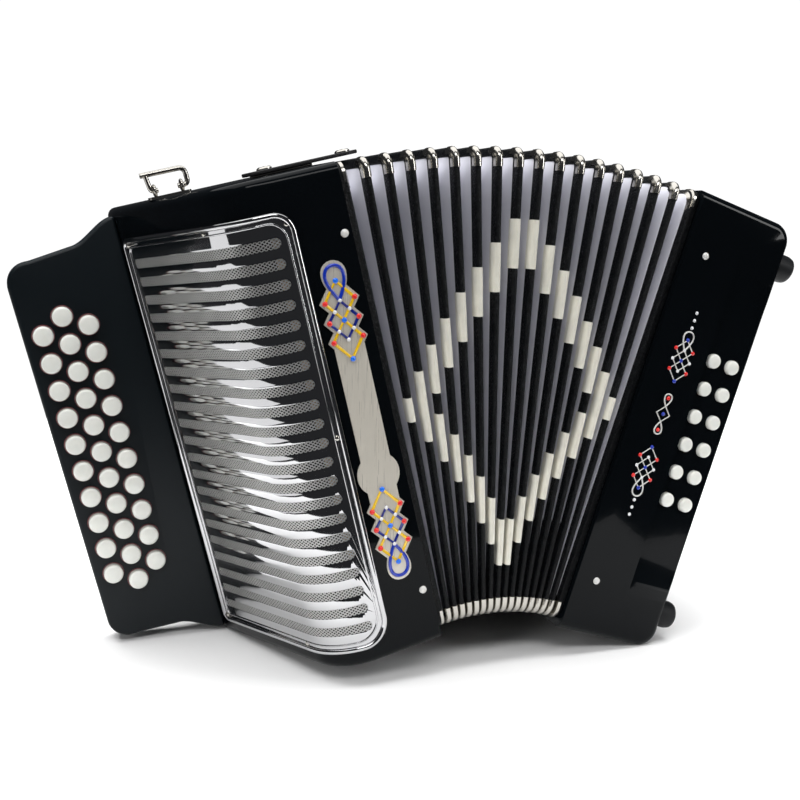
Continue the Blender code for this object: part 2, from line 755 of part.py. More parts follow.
def build_bail(parent):
    """A wire loop on the bracket's axis; its origin is on that axis."""
    inner_left = BAIL_LEFT_W - BAIL_RIGHT_W
    tuck = EYE_WIDTH / 2 + 1.0
    bend = 4.0
    top = BAIL_RISE
    path = [(-tuck, 0, 0), (tuck + 0.4, 0, 0), (tuck + 2.4, 0, 0.9), (tuck + 3.2, 0, 3.0)]
    path += [(tuck + 3.2 - bend * (1 - math.cos(a)), 0, top - bend + bend * math.sin(a))
             for a in (math.radians(22.5 * k) for k in range(5))]
    path += [(inner_left - BAIL_OVERHANG, 0, top)]
    loop = wire([(x, y, z) for x, y, z in path], BAIL_WIRE_RADIUS, 1)
    bail = to_object("strap_bail", loop, nickel, parent)
    leg = wire([(inner_left + tuck, 0, 0), (inner_left - tuck - 0.4, 0, 0),
                (inner_left - tuck - 2.4, 0, 0.9), (inner_left - tuck - 3.2, 0, 3.0),
                (inner_left - tuck - 3.2, 0, top)], BAIL_WIRE_RADIUS * 0.98, 1)
    cut(bail, to_object("bail_leg", leg, parent=parent), "UNION")
    return bail


def build_bellows_strap(parent):
    """The strap that holds the bellows shut, riveted to the treble box and lying over the folds."""
    low = BODY_HEIGHT + GAP
    outline = filleted([(LATCH_LOW_W, LATCH_Y - LATCH_WIDTH / 2, 5),
                        (LATCH_HIGH_W, LATCH_Y - LATCH_WIDTH / 2, 5),
                        (LATCH_HIGH_W, LATCH_Y + LATCH_WIDTH / 2, 5),
                        (LATCH_LOW_W, LATCH_Y + LATCH_WIDTH / 2, 5)])
    strap = to_object("bellows_strap", prism(outline, "u", low, low + LATCH_THICKNESS), leather, parent)
    snaps = bmesh.new()
    for w in (LATCH_LOW_W + 14, LATCH_HIGH_W - 9):
        cylinder(snaps, LATCH_SNAP_RADIUS, low + 1, low + LATCH_THICKNESS + LATCH_SNAP_HEIGHT,
                 (w, LATCH_Y), "u", BUTTON_SIDES)
    cut(strap, to_object("latch_snaps", snaps, parent=parent), "UNION")
    return strap


# ---------------------------------------------------------------- stance

def standing_tilt(bass):
    """Tilt of the treble box that puts both boxes' lowest outer corners on the ground."""
    treble_back = treble_corners()[3][0]
    edge = EDGE_ROUND
    first = Vector((treble_back + edge, edge))
    round_two = BASS_CORNER_RADIUS
    local = bass @ Vector((BASS_WIDTH - round_two, 0, round_two))
    second = Vector((local.x, local.z))
    span = second - first
    slope = math.atan2(span.y, span.x)
    return slope - math.asin((round_two - edge) / span.length)


def rest_on_ground(root):
    """Moves the whole accordion so that the middle of its base is at the origin."""
    bpy.context.view_layer.update()
    graph = bpy.context.evaluated_depsgraph_get()
    corners = []
    for piece in pieces.objects:
        if piece.type == "MESH":
            mesh = piece.evaluated_get(graph).to_mesh()
            points = np.empty(len(mesh.vertices) * 3)
            mesh.vertices.foreach_get("co", points)
            matrix = np.array(piece.matrix_world)
            corners.append(points.reshape(-1, 3) @ matrix[:3, :3].T + matrix[:3, 3])
    cloud = np.concatenate(corners)
    low, high = cloud.min(axis=0), cloud.max(axis=0)
    root.location = (-(low[0] + high[0]) / 2, -(low[1] + high[1]) / 2, -low[2])
    bpy.context.view_layer.update()


clear_scene()
pieces = new_collection("button_accordion")
cutters = new_collection("cutters")

gloss_black = material("gloss_black", (0.012, 0.012, 0.016), 0.08)
satin_black = material("satin_black", (0.02, 0.023, 0.028), 0.35)
chrome = material("chrome", (0.78, 0.78, 0.78), 0.08, 1.0)
nickel = material("nickel", (0.72, 0.70, 0.66), 0.18, 1.0)
pearl = material("pearl", (0.82, 0.81, 0.76), 0.25)
bellows_card = material("bellows_card", (0.04, 0.04, 0.05), 0.5)
leather = material("leather", (0.02, 0.02, 0.022), 0.55)
foot_rubber = material("foot_rubber", (0.015, 0.015, 0.015), 0.6)
reed_wood = material("reed_wood", (0.55, 0.38, 0.22), 0.5)

bass_local = bass_pose()
tilt = standing_tilt(bass_local)
accordion = new_empty("accordion")
treble = new_empty("treble_box", accordion, turned(tilt))

middle_open = bellows_pose(FOLD_COUNT / 2)
half_closed = END_MARGIN + CLOSED_PITCH * FOLD_COUNT / 2
treble_pole = half_fan_pole(middle_open, half_closed)
middle = new_empty("bellows_middle", treble, scaled(Matrix.Translation(treble_pole)))

bass_from_middle = middle_open.inverted() @ bass_local
bass_pole = middle_open @ half_fan_pole(bass_from_middle, half_closed)
to_bass_pole = Matrix.Translation(bass_pole - treble_pole)
bass_hinge = new_empty("bass_hinge", middle, scaled(to_bass_pole))
bass = new_empty("bass_box", bass_hinge, scaled(Matrix.Translation(-bass_pole) @ bass_local))

build_treble_casing(treble)
build_grille(treble)
build_fingerboard(treble)
build_treble_reed_block(treble)
build_end_frame("treble_bellows_frame", bellows_pose(0), -1, treble, bellows_card)
build_bail_bracket(treble)
build_bellows_strap(treble)
bail_axis = new_empty("bail_axis", treble,
                      offset(BAIL_RIGHT_W, BAIL_Y, BODY_HEIGHT + GAP + BAIL_AXLE_HEIGHT))
build_bail(bail_axis)

build_bellows_half("bellows_left", 0, FOLD_COUNT / 2, middle, treble_pole)
build_bellows_half("bellows_right", FOLD_COUNT / 2, FOLD_COUNT, middle, treble_pole)

build_bass_casing(bass)
build_bass_reed_block(bass)
build_end_frame("bass_bellows_frame", Matrix.Translation((-END_MARGIN, 0, 0)), 1, bass, bellows_card)
build_hand_strap(bass)
for foot_name, foot_u in zip(("bass_foot_lower", "bass_foot_upper"), FOOT_U):
    build_foot(foot_name, foot_u, bass)

air_shape = button_shape(AIR_BUTTON_RADIUS, AIR_BUTTON_LENGTH)
air_button = to_object("air_button", air_shape, satin_black, bass,
                       offset(BASS_WIDTH + AIR_BUTTON_PROUD, AIR_BUTTON_Y, AIR_BUTTON_U)
                       @ Matrix.Rotation(math.radians(90), 4, "Z"))
for button_name, button_w, button_u in treble_buttons():
    build_button(button_name, button_w, BOARD_FACE_Y - TREBLE_BUTTON_PROUD, button_u,
                 button_shape(TREBLE_BUTTON_RADIUS, TREBLE_BUTTON_LENGTH), pearl, treble)
for button_name, button_w, button_u in bass_buttons():
    build_button(button_name, button_w, RECESS_DEPTH - BASS_BUTTON_PROUD, button_u,
                 button_shape(BASS_BUTTON_RADIUS, BASS_BUTTON_LENGTH), pearl, bass)

rest_on_ground(accordion)
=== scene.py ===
# %% [markdown]
# # A button accordion, finished
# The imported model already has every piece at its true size. This lesson loads it as a fixed frame
# and gives each piece its real surface: lacquered boxes, a mirror grille over silver mesh, pearl
# buttons on a satin board, and bellows of grey card bound in grained tape.

# %% Load the frame
import json
import math

import bmesh
import bpy
import numpy as np
from mathutils import Euler, Matrix, Vector


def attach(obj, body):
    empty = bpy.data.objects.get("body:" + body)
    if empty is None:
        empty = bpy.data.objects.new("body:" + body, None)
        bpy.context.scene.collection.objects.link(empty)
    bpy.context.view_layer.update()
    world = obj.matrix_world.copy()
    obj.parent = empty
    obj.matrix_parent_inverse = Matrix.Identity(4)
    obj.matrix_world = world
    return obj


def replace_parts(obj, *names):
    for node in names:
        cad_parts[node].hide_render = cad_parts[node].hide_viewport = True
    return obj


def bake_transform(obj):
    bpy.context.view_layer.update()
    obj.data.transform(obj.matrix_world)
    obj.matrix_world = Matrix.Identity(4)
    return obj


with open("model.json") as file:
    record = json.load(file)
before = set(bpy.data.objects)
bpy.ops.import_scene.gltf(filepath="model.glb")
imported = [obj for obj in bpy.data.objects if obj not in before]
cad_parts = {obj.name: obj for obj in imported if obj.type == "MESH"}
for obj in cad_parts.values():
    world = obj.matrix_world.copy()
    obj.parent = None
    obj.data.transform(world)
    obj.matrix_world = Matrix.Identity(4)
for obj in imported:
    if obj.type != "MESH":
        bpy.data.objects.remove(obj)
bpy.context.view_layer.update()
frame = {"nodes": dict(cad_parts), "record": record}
MM = 0.001
print("pieces in the frame:", len(frame["nodes"]))

# %% [markdown]
# ## One ruler for each end box
# Each end box leans, so it is far easier to draw in its own coordinates: w across the box (0 at the
# bellows), y from front to back, u up the box, all in millimetres. The bail's hinge gives the
# treble box's w direction, and the air button's travel gives the bass box's.

# %% The two leaning frames
record = frame["record"]
joints = {joint["name"]: joint for joint in record["behaviour"]["joints"]}
mounts = {mount["name"]: mount for mount in record["mounts"]}


def leaning_frame(across, point, local):
    """A box's frame from its w direction and one point known in both worlds."""
    w = Vector(across).normalized()
    y = Vector((0, 1, 0))
    turn = Matrix((w, y, w.cross(y))).transposed().to_4x4()
    return Matrix.Translation(Vector(point) - turn @ (Vector(local) * MM)) @ turn


HEIGHT, DEPTH = 320.0, 190.0
TREBLE = leaning_frame(joints["strap_bail_swing"]["axis"], mounts["treble_back_rest"]["pos_m"],
                       (-50, DEPTH, HEIGHT / 2))
BASS = leaning_frame(-Vector(joints["air_button_press"]["axis"]), mounts["bass_back_rest"]["pos_m"],
                     (40, DEPTH, HEIGHT / 2))
print("treble box leans", round(math.degrees(math.atan2(TREBLE[0][2], TREBLE[2][2])), 2), "degrees")

# %% [markdown]
# ## Drawing tools
# Every solid here starts as an outline with filleted corners, a lathe profile or a sweep. Each is
# modelled in millimetres about the box's own origin, baked to a plain mesh, and only then moved to
# its leaning place, so that patterns on object coordinates stay put.

# %% Outlines and solids
AXES = {
    "w": (Vector((0, 1, 0)), Vector((0, 0, 1)), Vector((1, 0, 0))),
    "y": (Vector((1, 0, 0)), Vector((0, 0, 1)), Vector((0, 1, 0))),
    "u": (Vector((1, 0, 0)), Vector((0, 1, 0)), Vector((0, 0, 1))),
}


def filleted(corners, arc_step=6.0):
    """Points of a closed outline whose corners are (x, y, radius)."""
    points = []
    count = len(corners)
    for index, (x, y, radius) in enumerate(corners):
        here = Vector((x, y))
        if radius <= 0:
            points.append(here)
            continue
        back = (Vector(corners[index - 1][:2]) - here).normalized()
        ahead = (Vector(corners[(index + 1) % count][:2]) - here).normalized()
        half = back.angle(ahead) / 2
        centre = here + (back + ahead).normalized() * radius / math.sin(half)
        start = here + back * radius / math.tan(half) - centre
        finish = here + ahead * radius / math.tan(half) - centre
        sweep = -start.angle_signed(finish)
        steps = max(2, math.ceil(abs(sweep) / math.radians(arc_step)))
        for step in range(steps + 1):
            points.append(centre + Matrix.Rotation(sweep * step / steps, 2) @ start)
    return points


def box_points(low, high):
    return [(low[0], low[1]), (high[0], low[1]), (high[0], high[1]), (low[0], high[1])]


def prism(points, axis, low, high, shape=None):
    """Extrudes a flat outline: w takes (y, u) points, y takes (w, u), u takes (w, y)."""
    shape = shape or bmesh.new()
    first, second, along = AXES[axis]
    corners = [shape.verts.new(first * p[0] + second * p[1] + along * low) for p in points]
    face = shape.faces.new(corners)
    grown = bmesh.ops.extrude_face_region(shape, geom=[face])
    moved = [item for item in grown["geom"] if isinstance(item, bmesh.types.BMVert)]
    bmesh.ops.translate(shape, vec=along * (high - low), verts=moved)
    return shape


def lathe(profile, axis, centre, sides=40, shape=None):
    """Turns (radius, height) points about an axis through centre, and closes both ends."""
    shape = shape or bmesh.new()
    first, second, along = AXES[axis]
    middle = first * centre[0] + second * centre[1]
    rings = []
    for radius, height in profile:
        if radius <= 0:
            rings.append([shape.verts.new(middle + along * height)])
            continue
        rings.append([shape.verts.new(middle + along * height + radius
                                      * (first * math.cos(a) + second * math.sin(a)))
                      for a in (2 * math.pi * k / sides for k in range(sides))])
    for near, far in zip(rings, rings[1:]):
        for k in range(sides):
            after = (k + 1) % sides
            loop = [near[k % len(near)], near[after % len(near)],
                    far[after % len(far)], far[k % len(far)]]
            shape.faces.new(list(dict.fromkeys(loop)))
    for ring in (rings[0], rings[-1]):
        if len(ring) > 1:
            shape.faces.new(ring)
    return shape


def tube(path, radius, closed=False, sides=10, shape=None):
    """A round wire along points, with flat ends unless it is closed."""
    shape = shape or bmesh.new()
    path = [Vector(point) for point in path]
    count = len(path)
    side = None
    rings = []
    for index, point in enumerate(path):
        before = path[index - 1] if index or closed else point
        after = path[(index + 1) % count] if index < count - 1 or closed else point
        along = (after - before).normalized()
        side = side or along.orthogonal().normalized()
        side = (side - along * side.dot(along)).normalized()
        other = along.cross(side)
        rings.append([shape.verts.new(point + radius * (side * math.cos(a) + other * math.sin(a)))
                      for a in (2 * math.pi * k / sides for k in range(sides))])
    pairs = list(zip(rings, rings[1:])) + ([(rings[-1], rings[0])] if closed else [])
    for near, far in pairs:
        for k in range(sides):
            after = (k + 1) % sides
            shape.faces.new((near[k], near[after], far[after], far[k]))
    if not closed:
        shape.faces.new(rings[0])
        shape.faces.new(rings[-1])
    return shape


# %% [markdown]
# ## From outline to object
# Modifiers do the shaping that outlines can't: a bevel rounds edges, a boolean cuts, and solidify
# gives a sheet its thickness. Each is applied at once, and the finished mesh is moved into place.

# %% Objects, modifiers and placing
def solid(name, shape, outward=True):
    """A bmesh in millimetres becomes an object in the scene."""
    if outward:
        bmesh.ops.recalc_face_normals(shape, faces=shape.faces[:])
    mesh = bpy.data.meshes.new(name)
    shape.to_mesh(mesh)
    shape.free()
    piece = bpy.data.objects.new(name, mesh)
    bpy.context.scene.collection.objects.link(piece)
    return piece


def baked(piece):
    """Applies every modifier and leaves a plain mesh."""
    bpy.context.view_layer.update()
    graph = bpy.context.evaluated_depsgraph_get()
    mesh = bpy.data.meshes.new_from_object(piece.evaluated_get(graph))
    piece.modifiers.clear()
    piece.data = mesh
    return piece


def carve(piece, shape):
    """Cuts another solid out of a piece, then throws the tool away."""
    tool = solid("tool", shape)
    boolean = piece.modifiers.new("carve", "BOOLEAN")
    boolean.object = tool
    boolean.operation = "DIFFERENCE"
    baked(piece)
    bpy.data.objects.remove(tool, do_unlink=True)
    return piece


def bevelled(piece, width, segments=4, angle=50.0):
    bevel = piece.modifiers.new("bevel", "BEVEL")
    bevel.width = width
    bevel.segments = segments
    bevel.limit_method = "ANGLE"
    bevel.angle_limit = math.radians(angle)
    bevel.harden_normals = False
    return baked(piece)


def walled(piece, thickness, offset=-1.0):
    wall = piece.modifiers.new("wall", "SOLIDIFY")
    wall.thickness = thickness
    wall.offset = offset
    return baked(piece)


def placed(piece, home, finishes, smooth_angle=32.0):
    """Moves a finished millimetre mesh to its leaning place, in metres, and paints it."""
    piece.data.transform(home @ Matrix.Scale(MM, 4))
    indices = np.zeros(len(piece.data.polygons), np.int32)
    piece.data.polygons.foreach_get("material_index", indices)
    piece.data.materials.clear()
    for finish in finishes:
        piece.data.materials.append(finish)
    piece.data.polygons.foreach_set("material_index", np.minimum(indices, len(finishes) - 1))
    piece.data.shade_smooth()
    piece.data.set_sharp_from_angle(angle=math.radians(smooth_angle))
    return piece


def join_into(target, source):
    """Copies one bmesh into another and frees it."""
    scratch = bpy.data.meshes.new("scratch")
    source.to_mesh(scratch)
    source.free()
    target.from_mesh(scratch)
    bpy.data.meshes.remove(scratch)
    return target


# %% [markdown]
# ## Copies on points
# Screws, mesh cells, felt rings and stones all repeat. One Geometry Nodes tree serves them all: it
# takes points that carry a turn and a size, sets a shape on each, and makes the copies real,
# because exported files drop instances.

# %% The copying tree
def copying_tree():
    tree = bpy.data.node_groups.new("copies_on_points", "GeometryNodeTree")
    face = tree.interface
    face.new_socket("Points", in_out="INPUT", socket_type="NodeSocketGeometry")
    face.new_socket("Shape", in_out="INPUT", socket_type="NodeSocketObject")
    face.new_socket("Finish", in_out="INPUT", socket_type="NodeSocketMaterial")
    face.new_socket("Geometry", in_out="OUTPUT", socket_type="NodeSocketGeometry")
    new, link = tree.nodes.new, tree.links.new
    inputs, outputs = new("NodeGroupInput"), new("NodeGroupOutput")
    shape = new("GeometryNodeObjectInfo")
    turn = new("GeometryNodeInputNamedAttribute")
    turn.data_type = "FLOAT_VECTOR"
    turn.inputs["Name"].default_value = "turn"
    size = new("GeometryNodeInputNamedAttribute")
    size.inputs["Name"].default_value = "size"
    rotation = new("FunctionNodeEulerToRotation")
    copies = new("GeometryNodeInstanceOnPoints")
    real = new("GeometryNodeRealizeInstances")
    paint = new("GeometryNodeSetMaterial")
    link(inputs.outputs["Points"], copies.inputs["Points"])
    link(inputs.outputs["Shape"], shape.inputs["Object"])
    link(shape.outputs["Geometry"], copies.inputs["Instance"])
    link(turn.outputs["Attribute"], rotation.inputs["Euler"])
    link(rotation.outputs["Rotation"], copies.inputs["Rotation"])
    link(size.outputs["Attribute"], copies.inputs["Scale"])
    link(copies.outputs["Instances"], real.inputs["Geometry"])
    link(real.outputs["Geometry"], paint.inputs["Geometry"])
    link(inputs.outputs["Finish"], paint.inputs["Material"])
    link(paint.outputs["Geometry"], outputs.inputs["Geometry"])
    return tree


COPIES = copying_tree()


def copies(name, shape, spots, home, finish):
    """Puts a shape, drawn about its origin, on every spot: (point, Euler turn, size)."""
    tool = solid("shape", shape)
    mesh = bpy.data.meshes.new(name)
    mesh.from_pydata([spot[0] for spot in spots], [], [])
    turn = mesh.attributes.new("turn", "FLOAT_VECTOR", "POINT")
    turn.data.foreach_set("vector", np.array([spot[1][:] for spot in spots], float).ravel())
    size = mesh.attributes.new("size", "FLOAT", "POINT")
    size.data.foreach_set("value", np.array([spot[2] for spot in spots], float))
    piece = bpy.data.objects.new(name, mesh)
    bpy.context.scene.collection.objects.link(piece)
    nodes = piece.modifiers.new("copies", "NODES")
    nodes.node_group = COPIES
    sockets = {item.name: item.identifier for item in COPIES.interface.items_tree
               if item.in_out == "INPUT"}
    nodes[sockets["Shape"]] = tool
    nodes[sockets["Finish"]] = finish
    baked(piece)
    bpy.data.objects.remove(tool, do_unlink=True)
    print(name, len(spots), "copies,", len(piece.data.polygons), "faces")
    return placed(piece, home, [finish])


NO_TURN = Euler((0, 0, 0))

# %% [markdown]
# ## Writing shader maths as Python
# Materials are easier to read as expressions. A small class wraps a node socket, so that
# `noise * 0.3 + 0.1` adds the Math nodes for it.

# %% The socket class and the finish class
class Value:
    def __init__(self, finish, link):
        self.finish, self.link = finish, link

    def _math(self, operation, left, right):
        return self.finish.node("ShaderNodeMath", {"operation": operation}, [left, right])

    def __add__(self, other):
        return self._math("ADD", self, other)

    def __mul__(self, other):
        return self._math("MULTIPLY", self, other)

    __radd__, __rmul__ = __add__, __mul__


class Finish:
    """One material: settings that never vary go on the shader, what varies is linked."""

    def __init__(self, name, colour, roughness, metallic=0.0, **constants):
        self.material = bpy.data.materials.new(name)
        self.material.use_nodes = True
        self.tree = self.material.node_tree
        self.shader = self.tree.nodes["Principled BSDF"]
        self.put("Base Color", (*colour, 1.0))
        self.put("Roughness", roughness)
        self.put("Metallic", metallic)
        for label, value in constants.items():
            self.put(label.replace("_", " "), value)
        self.place = self.node("ShaderNodeTexCoord", {}, {}, "Object")

    def node(self, kind, settings, sockets, output=0):
        made = self.tree.nodes.new(kind)
        for label, value in settings.items():
            setattr(made, label, value)
        entries = sockets.items() if isinstance(sockets, dict) else enumerate(sockets)
        for label, value in entries:
            if isinstance(value, Value):
                self.tree.links.new(value.link, made.inputs[label])
            else:
                made.inputs[label].default_value = value
        return Value(self, made.outputs[output])

    def put(self, label, value):
        if isinstance(value, Value):
            self.tree.links.new(value.link, self.shader.inputs[label])
        else:
            self.shader.inputs[label].default_value = value
        return self

    def stretched(self, scale):
        return self.node("ShaderNodeMapping", {}, {"Vector": self.place, "Scale": scale})

    def noise(self, scale, detail=3.0, place=None):
        return self.node("ShaderNodeTexNoise", {}, {
            "Vector": place or self.place, "Scale": scale, "Detail": detail})

    def cells(self, scale):
        return self.node("ShaderNodeTexVoronoi", {"feature": "DISTANCE_TO_EDGE"}, {
            "Vector": self.place, "Scale": scale})

    def mix(self, share, first, second):
        return self.node("ShaderNodeMix", {"data_type": "RGBA"}, {
            0: share, 6: (*first, 1.0) if isinstance(first, tuple) else first,
            7: (*second, 1.0) if isinstance(second, tuple) else second}, 2)

    def bump(self, height, distance, strength=1.0):
        return self.put("Normal", self.node("ShaderNodeBump", {}, {
            "Strength": strength, "Distance": distance, "Height": height}))


# %% [markdown]
# ## The finishes
# Lacquer is nearly perfect, so only a trace of unevenness breaks its reflections. Felt, tape and
# leather live by their bump. Metals vary more in roughness than in colour.

# %% Finishes of the boxes and the board
def lacquer():
    finish = Finish("black_lacquer", (0.004, 0.005, 0.007), 0.07, Specular_IOR_Level=0.07,
                    Coat_Weight=0.08, Coat_Roughness=0.03)
    haze = finish.noise(9.0, 4.0)
    finish.put("Roughness", haze * 0.10 + 0.04)
    finish.put("Base Color", finish.mix(haze, (0.0012, 0.0018, 0.0024), (0.0028, 0.0038, 0.0048)))
    return finish.bump(finish.noise(160.0, 1.0), 0.00003).material


def satin_board():
    finish = Finish("satin_board", (0.008, 0.012, 0.016), 0.4, Specular_IOR_Level=0.25)
    grain = finish.noise(700.0, 3.0)
    broad = finish.noise(14.0, 3.0)
    finish.put("Base Color", finish.mix(broad, (0.0015, 0.0035, 0.005), (0.0035, 0.006, 0.008)))
    finish.put("Roughness", grain * 0.16 + 0.34)
    return finish.bump(grain, 0.00006, 0.6).material


def plated(name, colour, roughness):
    finish = Finish(name, colour, roughness, 1.0)
    haze = finish.noise(30.0, 4.0)
    finish.put("Roughness", haze * 0.08 + (roughness - 0.03))
    finish.put("Base Color", finish.mix(haze, tuple(0.93 * c for c in colour), colour))
    return finish.bump(finish.noise(120.0, 2.0), 0.00002).material


def woven_silver():
    finish = Finish("silver_mesh", (0.62, 0.62, 0.61), 0.32, 0.55)
    haze = finish.noise(60.0, 4.0)
    finish.put("Roughness", haze * 0.1 + 0.28)
    finish.put("Base Color", finish.mix(haze, (0.34, 0.34, 0.33), (0.54, 0.54, 0.53)))
    return finish.bump(finish.noise(900.0, 2.0), 0.00003).material


def brushed_plate():
    finish = Finish("champagne_plate", (0.72, 0.68, 0.60), 0.35, 0.35)
    streak = finish.noise(40.0, 4.0, finish.stretched((40.0, 1.0, 1.0)))
    finish.put("Roughness", streak * 0.2 + 0.2)
    finish.put("Base Color", finish.mix(streak, (0.64, 0.60, 0.52), (0.72, 0.68, 0.60)))
    return finish.bump(streak, 0.00002).material


def pearl(name, tint, shade):
    finish = Finish(name, tint, 0.22, Coat_Weight=0.6, Coat_Roughness=0.06,
                    Subsurface_Weight=0.06, Subsurface_Radius=(0.004, 0.003, 0.002))
    cloud = finish.noise(130.0, 5.0)
    finish.put("Base Color", finish.mix(cloud, shade, tint))
    finish.put("Roughness", cloud * 0.14 + 0.14)
    return finish.material


def enamel(name, colour):
    finish = Finish(name, colour, 0.2, Coat_Weight=0.7, Coat_Roughness=0.05)
    speck = finish.noise(900.0, 2.0)
    finish.put("Base Color", finish.mix(speck, tuple(0.75 * c for c in colour), colour))
    return finish.bump(finish.noise(500.0, 2.0), 0.00004).material


# %% [markdown]
# ## Soft finishes and wood
# Tape and leather have a grain of small cells, felt and card fine fibres, rubber a dull speckle and
# maple long streaks. On the tape the lighter, bluish cells of the grain are partly painted glints. The
# grain feeds the bump, so that it shows where light grazes the surface. At the end of the cell every
# finish of the instrument is made once.

# %% Finishes of the bellows, felt, leather and rubber
def cloth_tape():
    finish = Finish("grained_tape", (0.004, 0.004, 0.005), 0.42, Specular_IOR_Level=0.16)
    grain = finish.cells(620.0)
    wear = finish.noise(45.0, 3.0)
    # The base colour is mottled by the grain: partly the tape's own grain, partly painted glints in its
    # lighter, bluish cells.
    finish.put("Base Color", finish.mix(grain, (0.0010, 0.0012, 0.0015), (0.013, 0.015, 0.018)))
    finish.put("Roughness", wear * 0.2 + 0.3)
    return finish.bump(grain, 0.0007, 1.0).material


def satin_card():
    finish = Finish("lavender_card", (0.5, 0.5, 0.58), 0.5, Sheen_Weight=0.15)
    weave = finish.noise(2400.0, 2.0, finish.stretched((1.0, 1.0, 0.25)))
    tone = finish.noise(22.0, 3.0)
    finish.put("Base Color", finish.mix(tone, (0.54, 0.54, 0.59), (0.74, 0.74, 0.80)))
    finish.put("Roughness", weave * 0.2 + 0.42)
    return finish.bump(weave, 0.00008, 0.6).material


def felt():
    finish = Finish("red_felt", (0.16, 0.015, 0.02), 0.95, Sheen_Weight=0.6)
    fibre = finish.noise(2600.0, 5.0)
    finish.put("Base Color", finish.mix(fibre, (0.07, 0.006, 0.008), (0.25, 0.03, 0.035)))
    return finish.bump(fibre, 0.0005).material


def grained_leather():
    finish = Finish("black_leather", (0.012, 0.012, 0.013), 0.5, Specular_IOR_Level=0.2)
    grain = finish.cells(700.0)
    finish.put("Roughness", grain * 0.4 + 0.38)
    finish.put("Base Color", finish.mix(finish.noise(60.0), (0.008, 0.008, 0.009),
                                        (0.022, 0.021, 0.022)))
    return finish.bump(grain, 0.0006, 0.7).material


def moulded_rubber():
    finish = Finish("moulded_rubber", (0.006, 0.006, 0.007), 0.6, Specular_IOR_Level=0.18)
    speck = finish.noise(1200.0, 3.0)
    finish.put("Roughness", speck * 0.2 + 0.42)
    finish.put("Base Color", finish.mix(speck, (0.003, 0.0035, 0.0045), (0.007, 0.008, 0.009)))
    return finish.bump(speck, 0.0001).material


def maple():
    finish = Finish("maple", (0.55, 0.38, 0.22), 0.5)
    grain = finish.noise(18.0, 6.0, finish.stretched((8.0, 8.0, 1.0)))
    finish.put("Base Color", finish.mix(grain, (0.42, 0.26, 0.13), (0.66, 0.48, 0.30)))
    return finish.bump(grain, 0.0002).material


LACQUER, BOARD = lacquer(), satin_board()
CHROME = plated("mirror_chrome", (0.52, 0.52, 0.53), 0.055)
NICKEL = plated("nickel_plate", (0.50, 0.48, 0.44), 0.20)
MESH_METAL = woven_silver()
PLATE = brushed_plate()
PEARL = pearl("button_pearl", (0.84, 0.84, 0.79), (0.70, 0.71, 0.66))
CREAM = pearl("cream_celluloid", (0.80, 0.78, 0.69), (0.62, 0.60, 0.52))
SCREW_PEARL = pearl("screw_pearl", (0.78, 0.77, 0.74), (0.5, 0.5, 0.48))
TAPE, CARD, FELT = cloth_tape(), satin_card(), felt()
LEATHER, RUBBER, MAPLE = grained_leather(), moulded_rubber(), maple()
BLUE = enamel("deep_blue", (0.003, 0.03, 0.42))
NAVY = enamel("navy", (0.003, 0.016, 0.24))
YELLOW = enamel("yellow", (0.95, 0.60, 0.008))
RED = enamel("red", (0.85, 0.018, 0.014))
AZURE = enamel("azure_stone", (0.004, 0.17, 0.90))
WHITE = enamel("white_dot", (0.85, 0.86, 0.88))
print("finishes:", len(bpy.data.materials))

# %% [markdown]
# ## The studio
# A large pale floor under an overhead panel, with three smaller panels in front, to the left and
# to the right. The overhead panel only lights; a dimmer one beside it is only reflected. A card
# that lies on the floor is reflected in the grille. The sky looks white and hardly lights. The
# camera stands in front of the treble box and looks slightly down and to the right.

# %% Camera, floor and lights
FIT_LEAN = math.radians(12.81)
CAMERA_PLACE = (-193.9, -635.1, 327.3)
camera = bpy.data.objects.new("camera", bpy.data.cameras.new("camera"))
camera.data.sensor_width = 36.0
camera.data.lens = 48.43
camera.data.clip_start = 0.01
looking = Euler((math.radians(90 - 9.43), 0, math.radians(-20.0))).to_matrix().to_4x4()
turn = TREBLE.to_3x3().to_4x4() @ Matrix.Rotation(FIT_LEAN, 4, "Y") @ looking
camera.matrix_world = Matrix.Translation(TREBLE @ (Vector(CAMERA_PLACE) * MM)) @ turn
bpy.context.scene.collection.objects.link(camera)
bpy.context.scene.camera = camera

FLOOR_NEAR, FLOOR_FAR, FLOOR_THICKNESS = (-430, -330), (1300, 1000), 0.05
floor = solid("studio_floor", prism(box_points(FLOOR_NEAR, FLOOR_FAR), "u", -FLOOR_THICKNESS, 0))
floor_finish = Finish("studio_floor", (0.88, 0.88, 0.88), 0.7, Specular_IOR_Level=0.1)
floor_finish.put("Roughness", floor_finish.noise(3.0) * 0.1 + 0.7)
placed(floor, Matrix.Identity(4), [floor_finish.material])


def panel(name, place, aim, size, power, diffuse=True, glossy=True):
    light = bpy.data.objects.new(name, bpy.data.lights.new(name, "AREA"))
    light.data.shape = "RECTANGLE"
    light.data.size, light.data.size_y = size
    light.data.energy = power
    light.location = place
    light.rotation_euler = (Vector(aim) - Vector(place)).to_track_quat("-Z", "Y").to_euler()
    light.visible_camera, light.visible_diffuse, light.visible_glossy = False, diffuse, glossy
    bpy.context.scene.collection.objects.link(light)
    return light


OVERHEAD_SIZE = (3.0, 2.2)
panel("overhead", (0.0, 0.5, 1.9), (0, 0.5, 0), OVERHEAD_SIZE, 120, glossy=False)
panel("overhead_card", (0.0, 0.5, 1.91), (0, 0.5, 0), OVERHEAD_SIZE, 42, diffuse=False)
panel("front_top", (-0.3, -1.5, 1.7), (0, 0, 0.1), (1.6, 0.5), 16)
panel("left_panel", (-1.7, -1.0, 0.7), (0, 0, 0.2), (0.35, 1.2), 12, glossy=False)
panel("right_panel", (1.6, -1.2, 0.9), (0, 0, 0.2), (0.35, 1.2), 14)

CARD_TURN = math.radians(166)
card = panel("grille_card", (-0.87, 0.10, 0.01), (-0.87, 0.10, 1.0), (0.9, 0.8), 3.0, diffuse=False)
card.rotation_euler = Euler((math.pi, 0, CARD_TURN))

